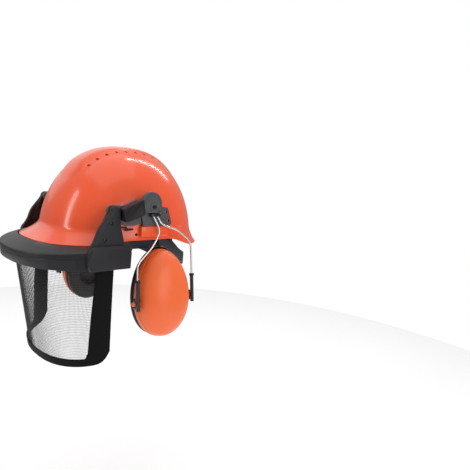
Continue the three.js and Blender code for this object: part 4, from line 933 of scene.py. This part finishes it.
HINGE_Y, HINGE_Z, HINGE_EYE, ARM_INNER_X, ARM_OUTER_X = -63, 50, 8, 113, 119.5
RIVETS = ((-70, 33), (-79, 10))
eye = [(HINGE_Y + HINGE_EYE * math.cos(math.radians(a)), HINGE_Z + HINGE_EYE * math.sin(math.radians(a)))
       for a in (-15, 26, 67, 108, 149, 190)]
arm_outline = rounded(eye + [(-79, 38), (-88, 26), (-93, 10), (-101, -2), (-104, -17), (-100, -32.5),
                             (-46, -32.5), (-39, -24.5), (-46, 0), (-55, 34)], 6)
foot_outline = rounded([(-99, 2), (-104, -14), (-101, -33.2), (-48, -33.2), (-38, -27), (-38.5, -10),
                        (-46, 2)], 7, 6)
for side in (-1, 1):
    for name, outline, outer_x, bevel in (("guard_arm", arm_outline, ARM_OUTER_X, 1.6),
                                          ("guard_foot", foot_outline, GUARD_HALF + 0.5, 2.6)):
        boolean(guard, slab(name, outline, ARM_INNER_X * side, outer_x * side, bevel), "UNION")
smooth(guard, 32)
for side in (-1, 1):
    for y, z in RIVETS:
        boolean(guard, add_rod("X", 2.8, (100 * side, 135 * side), (y, z), "rivet_hole"), "DIFFERENCE")
smooth(guard, 32)
# The guard's grey is darkened with painted shade.
finish_piece(guard, "visor", "guard_grey", guard_grey, "brow_guard")
print("brow guard", len(guard.data.polygons), "faces")

# %% [markdown]
# ## The visor
# A soft black border frames a screen of woven wire. The border is a sheet with a window, whose edges are
# rounded. The screen is a grid of fine square wires: a Wireframe modifier turns each line of the grid into
# a wire, so light really passes between them.

# %% Visor surface and border
VISOR_HALF, VISOR_TOP_FRONT, VISOR_FOOT_FRONT, VISOR_REAR_Y = 110.5, 148, 118, -37
VISOR_TOP_Z, VISOR_FOOT_Z, VISOR_DROP, BORDER_THICK = -16, -171.6, 17, 1.8
WINDOW_TOP, WINDOW_FOOT = 0.13, 0.93


def visor_at(across, down, offset):
    corner = 0.1 * (np.maximum(0, np.abs(across) - 0.8) / 0.2) ** 3.2
    t = down * (1 - corner)
    angle = across * np.radians(mix(81.5, 78, t))
    front = mix(VISOR_TOP_FRONT, VISOR_FOOT_FRONT, t) + VISOR_REAR_Y + offset
    around, ahead = signed_power(np.sin(angle), 0.85), signed_power(np.cos(angle), 0.9)
    foot = VISOR_FOOT_Z - VISOR_DROP * ahead
    return (VISOR_HALF + offset) * around, VISOR_REAR_Y - front * ahead, mix(VISOR_TOP_Z, foot, t)


def window_edge(down):
    return mix(0.86, 0.72, down)


def border_place(across, up):
    side, down = across * 2 - 1, 1 - up
    inner = np.clip(np.abs(side) / 0.9, 0, 1) * window_edge(down)
    outer = mix(window_edge(down), 1.0, np.clip((np.abs(side) - 0.9) / 0.1, 0, 1))
    return visor_at(np.sign(side) * np.where(np.abs(side) < 0.9, inner, outer), down, BORDER_THICK)


def in_window(face):
    """The window's faces, told on the flat grid before it is wrapped."""
    side, down = abs(face.center.x) / 0.9, (1 - face.center.y) / 2
    corner = max(0, side - 0.94) / 0.06
    return side < 1 and WINDOW_TOP + 0.05 * corner ** 2 < down < WINDOW_FOOT - 0.05 * corner ** 2


border = grid("visor_border", 120, 100)
delete_faces(border, in_window)
wrap(border, border_place)
turn_out(border, (0, VISOR_REAR_Y, -90))
thicken(border, BORDER_THICK)
round_edges(border, 0.6, 50)
smooth(border, 50)
finish_piece(border, "visor", "visor_border", visor_border, "visor_frame")
print("border", len(border.data.polygons), "faces")

# %% Screen
SCREEN_COLUMNS, SCREEN_ROWS, WIRE_THICK = 118, 58, 0.48


def screen_place(across, up):
    down = mix(WINDOW_FOOT + 0.03, WINDOW_TOP - 0.03, up)
    return visor_at((across * 2 - 1) * (window_edge(down) + 0.03), down, -0.9)


screen = wrap(grid("visor_screen", SCREEN_COLUMNS, SCREEN_ROWS), screen_place)
turn_out(screen, (0, VISOR_REAR_Y, -90))
modify(screen, "WIREFRAME", thickness=WIRE_THICK * MM, use_even_offset=False, use_replace=True)
finish_piece(screen, "visor", "mesh_screen", mesh_screen, "visor_mesh")
print("screen", len(screen.data.polygons), "faces")

rail = from_frame("visor_top_rail", "visor_rail", 0.5, 40)
finish_piece(rail, "visor", "black_plastic", black_plastic, "visor_rail")

# %% [markdown]
# ## Ear muffs
# Each cup is a tall egg-shaped shell with a seam, a soft ring cushion on a black plate, and a foam liner.
# The cups hang from two bright spring wires. All of it is made upright for the left side, leaned out by
# the arms' rest angle, and mirrored for the right.

# %% Egg shapes
CUP_Y, CUP_Z, CUP_HALF_WIDTH, CUP_HALF_HEIGHT, CUP_TAPER = 24, -78, 47, 69, 0.1
CUP_RIM_X, CUP_DEPTH, CUP_WALL = 96, 39, 2.5
YOKE_X, YOKE_Z, REST_FLARE = 114.85, 43.6, 8
FRONT_WIRE_Y, REAR_WIRE_Y = CUP_Y - CUP_HALF_WIDTH - 5, CUP_Y + CUP_HALF_WIDTH + 5
LUG_X, LUG_Z, LUG_RADIUS = YOKE_X - 7, -88, 3.6
flare = (Matrix.Translation(Vector((YOKE_X, 0, YOKE_Z)) * MM)
         @ Matrix.Rotation(-math.radians(REST_FLARE), 4, "Y")
         @ Matrix.Translation(Vector((-YOKE_X, 0, -YOKE_Z)) * MM))


def egg(angle, half_width, half_height):
    y = CUP_Y + half_width * (1 - CUP_TAPER * np.sin(angle)) * np.cos(angle)
    return y, CUP_Z + half_height * np.sin(angle)


def egg_rings(rings):
    """Places a grid on rings given as (x, half width, half height); across runs round the egg."""
    table = np.array(rings)

    def place(across, up):
        row = np.rint(up * (len(table) - 1)).astype(int)
        y, z = egg(across * 2 * np.pi, table[row, 1], table[row, 2])
        return table[row, 0], y, z
    return place


def both_sides(make):
    """Makes a left piece, leans it out with the arms, and adds its mirror copy."""
    left = make()
    left.data.transform(flare)
    return with_mirror_copy(left)


# %% Cup shells
def cup_rings():
    """Rings from the rim out to the crown, which is closed to a point. A groove runs round at the seam."""
    rings = []
    for depth in [0, 1, 2.5, 4, 6, 7.6, 8.2, 8.8, 9.6, 10.2, 11, *np.linspace(12, CUP_DEPTH * 0.93, 18),
                  *(CUP_DEPTH * np.array([0.95, 0.965, 0.98, 0.99, 0.997]))]:
        scale = (1 - min(depth / CUP_DEPTH, 1) ** 2.7) ** (1 / 2.3)
        groove = 0.9 if 8 < depth < 9.8 else 0.0
        rings.append((CUP_RIM_X + depth, CUP_HALF_WIDTH * scale - groove, CUP_HALF_HEIGHT * scale - groove))
    return rings + [(CUP_RIM_X + CUP_DEPTH, 0.0005, 0.0005)]


def make_cup():
    rings = cup_rings()
    cup = wrap(grid("cup_shell", 96, len(rings) - 1), egg_rings(rings))
    in_edit_mode(cup, weld, outwards)
    turn_out(cup, (90, CUP_Y, CUP_Z))
    thicken(cup, CUP_WALL)
    round_edges(cup, 0.5, 60)
    print("cup bowl", len(cup.data.polygons), "faces, mm", [round(v / MM, 1) for v in cup.dimensions])
    lugs = [soften(add_rod("Y", LUG_RADIUS, ends, (LUG_X, LUG_Z), "lug", 32), 0.8)
            for ends in ((FRONT_WIRE_Y - 5.2, CUP_Y - CUP_HALF_WIDTH + 5),
                         (CUP_Y + CUP_HALF_WIDTH - 5, REAR_WIRE_Y + 5.2))]
    return smooth(joined(cup, *lugs), 40)


for side, cup in both_sides(make_cup):
    finish_piece(cup, side + "_cup", "cup_orange", cup_orange, side + "_cup_shell")
print("cup", len(cup.data.polygons), "faces")

# %% [markdown]
# The ear cushion is thin vinyl over soft foam, so it bulges between its seat on the plate and the face
# that meets the head, with a welded seam near the plate. It is a ring whose section is swept round the egg.

# %% Ear cushions, plates and foam
EAR_HALF_WIDTH, EAR_HALF_HEIGHT = 24, 37


def ring_place(section):
    """Sweeps (x, share) round the egg: share 0 is the ear opening and 1 the cup's outer edge."""
    table = np.array(section)

    def place(across, up):
        row = np.rint(up * len(table)).astype(int) % len(table)
        share = table[row, 1]
        y, z = egg(across * 2 * np.pi, mix(EAR_HALF_WIDTH, CUP_HALF_WIDTH - 1, share),
                   mix(EAR_HALF_HEIGHT, CUP_HALF_HEIGHT - 1, share))
        return table[row, 0], y, z
    return place


def ring_from(name, section, columns=96):
    ring = wrap(grid(name, columns, len(section)), ring_place(section))
    in_edit_mode(ring, weld, outwards)
    return ring


def make_cushion():
    section = []
    for step in range(28):
        turn = 2 * math.pi * step / 28
        bulge_x, bulge_y = signed_power(math.cos(turn), 0.62), signed_power(math.sin(turn), 0.72)
        section.append((92.4 - 5.75 + 5.45 * bulge_x, 0.5 + 0.5 * bulge_y))
    cushion = ring_from("ear_cushion_ring", section, 120)
    modify(cushion, "SUBSURF", levels=1, render_levels=1)
    for vertex in cushion.data.vertices:
        turn = math.atan2(vertex.co.z / MM - CUP_Z, vertex.co.y / MM - CUP_Y)
        pucker = 0.16 * math.sin(turn * 31) + 0.1 * math.sin(turn * 53 + 1.7)
        vertex.co.x += pucker * MM * max(0, 1 - abs(vertex.co.x / MM - 86.5) / 5)
    return smooth(cushion, 60)


def make_plate():
    section = [(92.9, 0.12), (92.75, 0.15), (92.75, 0.98), (92.95, 1.0), (95.4, 1.0), (95.65, 0.98),
               (95.65, 0.15), (95.45, 0.12)]
    return smooth(ring_from("cup_back_plate", section), 35)


def make_foam():
    rings = [(97.4, 0.5, 0.7)]
    for share in np.linspace(0.06, 0.94, 24):
        wave = 0.35 * math.sin(share * 34)
        rings.append((97.2 - 0.2 * share + wave * 0.5, 38.5 * share, 60.5 * share))
    rings += [(97.6, 38.8, 60.9), (98.6, 39.2, 61.2), (101.5, 38.9, 61), (102.6, 37.6, 59.8), (102.8, 20, 30),
              (102.8, 0.5, 0.7)]
    pad = wrap(grid("cup_foam", 72, len(rings) - 1), egg_rings(rings))
    in_edit_mode(pad, weld, fill_ends, outwards)
    return smooth(pad, 60)


for side, piece in both_sides(make_cushion):
    finish_piece(piece, side + "_cup", "cushion_skin", cushion_skin, side + "_ear_cushion")
for side, piece in both_sides(make_foam):
    finish_piece(piece, side + "_cup", "foam", foam, side + "_foam_liner")
for side, piece in both_sides(make_plate):
    finish_piece(piece, side + "_cup", "black_plastic", black_plastic, side + "_cup_plate")
print("cushion", len(piece.data.polygons), "faces")

# %% [markdown]
# ## Spring wires and sleeves
# The wires are bent from one length each, so their route is a line of straights joined by round bends. A
# grid is wrapped round that route. The black sleeves slide on the wires and grip the cup's side pins.

# %% Wires
SLEEVE_TOP_Z, SLEEVE_LENGTH, WIRE_RADIUS = -52, 46, 1.5
WIRE_TOP_Z, WIRE_END_Z = YOKE_Z - 0.8, SLEEVE_TOP_Z - SLEEVE_LENGTH + 14
WIRES = {
    "front_wire": [(3, WIRE_TOP_Z), (11, 29), (14, 18), (8, 6), (-2, -7), (FRONT_WIRE_Y + 5, -25),
                   (FRONT_WIRE_Y, -34), (FRONT_WIRE_Y, WIRE_END_Z)],
    "rear_wire": [(10, WIRE_TOP_Z), (19, 29), (49, 20), (REAR_WIRE_Y - 3, 2), (REAR_WIRE_Y, -10),
                  (REAR_WIRE_Y, WIRE_END_Z)],
}


def bent_route(corners, steps=8):
    """Straights joined by round bends that start three tenths of the way to each corner."""
    points = [Vector(corners[0])]
    for before, here, after in zip(corners, corners[1:], corners[2:]):
        before, here, after = Vector(before), Vector(here), Vector(after)
        first, last = here.lerp(before, 0.3), here.lerp(after, 0.3)
        for step in range(steps + 1):
            t = step / steps
            points.append(first * (1 - t) ** 2 + here * 2 * t * (1 - t) + last * t * t)
    points.append(Vector(corners[-1]))
    return [p for i, p in enumerate(points) if i == 0 or (p - points[i - 1]).length > 0.05]


def make_wire(name):
    route = bent_route(WIRES[name])
    last = len(route) - 1
    along = [(route[min(i + 1, last)] - route[max(i - 1, 0)]).normalized() for i in range(len(route))]
    spots, sides = np.array(route), np.array([(-a.y, a.x) for a in along])

    def place(across, up):
        row = np.rint(up * last).astype(int)
        turn = across * 2 * np.pi
        return (YOKE_X + WIRE_RADIUS * np.cos(turn), spots[row, 0] + sides[row, 0] * WIRE_RADIUS * np.sin(turn),
                spots[row, 1] + sides[row, 1] * WIRE_RADIUS * np.sin(turn))

    bar = wrap(grid(name + "_bar", 14, last), place)
    in_edit_mode(bar, weld, fill_ends, outwards)
    return smooth(bar, 60)


for name in WIRES:
    for side, piece in both_sides(lambda: make_wire(name)):
        finish_piece(piece, side + "_wires", "steel_wire", steel_wire, side + "_" + name)
print("four wires")

# %% Yokes and sleeves
for side in ("left", "right"):
    yoke = from_frame(side + "_yoke_barrel", side + "_yoke", 0.25, 50)
    finish_piece(yoke, side + "_wires", "black_plastic", black_plastic, side + "_yoke")
    for end in ("front", "rear"):
        sleeve = from_frame(side + "_" + end + "_slide", side + "_" + end + "_sleeve", 0.45, 40)
        finish_piece(sleeve, side + "_sleeves", "black_plastic", black_plastic, side + "_" + end + "_sleeve")
print("yokes and sleeves")

# %% [markdown]
# ## Hardware on each side
# The bracket stands in the shell's slot and carries the arm's disc and the visor's mount. These are flat
# mouldings, pins and rivets whose outlines the frame already fixes, so they get round edges and a finish.

# %% Brackets, discs, covers and pins
HARDWARE = [
    # The brackets and mounts wear the grey lightened with painted light. The temple plates wear the guard's grey,
    # darkened with painted shade.
    ("slot_bracket", "helmet", "guard_grey", lit_hardware_grey, 0.8),
    ("visor_mount", "helmet", "guard_grey", lit_hardware_grey, 0.9),
    ("visor_catch", "helmet", "black_plastic", black_plastic, 0.5),
    ("visor_hinge_pin", "helmet", "steel_wire", steel_wire, 0.4),
    ("arm_pin", "helmet", "black_plastic", black_plastic, 0.5),
    ("temple_plate", "visor", "guard_grey", guard_grey, 0.6),
    ("rivet_upper", "visor", "black_plastic", black_plastic, 0.35),
    ("rivet_lower", "visor", "black_plastic", black_plastic, 0.35),
]
for side in ("left", "right"):
    for node, body, slot, finish, rounding in HARDWARE:
        piece = from_frame(side + "_" + node + "_part", side + "_" + node, rounding, 40)
        finish_piece(piece, body, slot, finish, side + "_" + node)
print(2 * len(HARDWARE), "small pieces")

# %% [markdown]
# The cover and the disc are what the eye meets first on each side. Both start as plates, and their outer
# faces are inset and pressed in a little, which leaves a rim all round.

# %% Covers and discs
def press_face(piece, x, width, depth):
    """Insets the face that lies at x and moves it along X, in millimetres."""
    select_faces(piece, lambda face: abs(face.center.x / MM - x) < 0.01 and abs(face.normal.x) > 0.99)
    bpy.ops.mesh.inset(thickness=width * MM)
    bpy.ops.mesh.extrude_region_move(TRANSFORM_OT_translate={"value": (depth * MM, 0, 0)})
    close_edit_mode()
    return piece


def make_cover():
    face = rounded([(-56, 53.5), (-50, 34), (-18, 45), (-21.5, 69)], 3.5, 5)
    block = rounded([(-54, 53), (-49, 35), (-29, 41), (-29, 64)], 2.5, 4)
    cover = slab("mount_cover", face, 118.6, 126, 1.3)
    press_face(cover, 126, 1.2, -0.5)
    round_edges(cover, 0.3, 40)
    return smooth(joined(cover, slab("mount_block", block, 109.7, 119.4, 1.0)), 35)


ARM_PIN = (2, 56)
DISC_Y, DISC_Z, DISC_RADIUS = -2, 61, 18


def make_disc():
    turns = np.radians(np.linspace(-30, 210, 65))
    rim = [(DISC_Y + DISC_RADIUS * math.cos(a), DISC_Z + DISC_RADIUS * math.sin(a)) for a in turns]
    disc = slab("muff_disc", rim + [(-9, 47.6), (17, 47.6)], 111.6, 118.1, 1.1)
    press_face(disc, 118.1, 2.2, -0.9)
    round_edges(disc, 0.35, 40)
    boss = soften(add_rod("X", 6.6, (116, 118.3), ARM_PIN, "boss", 48), 0.6)
    for piece in (disc, boss):
        boolean(piece, add_rod("X", 3.08, (105, 125), ARM_PIN, "bore", 48), "DIFFERENCE")
    return smooth(joined(disc, boss), 35)


# The cover's grey is darkened with painted shade, and the disc's is lightened with painted light.
for side, piece in with_mirror_copy(make_cover()):
    finish_piece(piece, "helmet", "guard_grey", shaded_cover_grey, side + "_visor_mount_cover")
for side, piece in with_mirror_copy(make_disc()):
    finish_piece(piece, side + "_arm", "guard_grey", lit_hardware_grey, side + "_arm_disc")
print(len(made), "pieces in all")

# %% [markdown]
# ## Floor
# A round pale floor lies well below the helmet, which hangs as on a head. It ends where the lamps no longer
# keep it white, so it runs into the white surround. Then the triangle count is printed.

# %% Floor
deselect()
bpy.ops.mesh.primitive_circle_add(vertices=128, radius=1.5, fill_type="NGON", location=(0, 0, -0.5))
floor = bpy.context.object
floor.name = "floor"
pale, tree, shader = new_material("pale_floor", (0.9, 0.9, 0.9), 0.8, specular=0.1)
shader.inputs["Emission Color"].default_value = (1, 1, 1, 1)
shader.inputs["Emission Strength"].default_value = 0.14
tone = noise_node(tree, tree.nodes.new("ShaderNodeTexCoord").outputs["Object"], 3.0)
tree.links.new(mix_color(tree, tone, (0.9, 0.9, 0.9), (0.93, 0.93, 0.93)), shader.inputs["Base Color"])
floor.data.materials.append(pale)
total = sum(len(p.vertices) - 2 for piece in made for p in piece.data.polygons)
print("triangles", total)
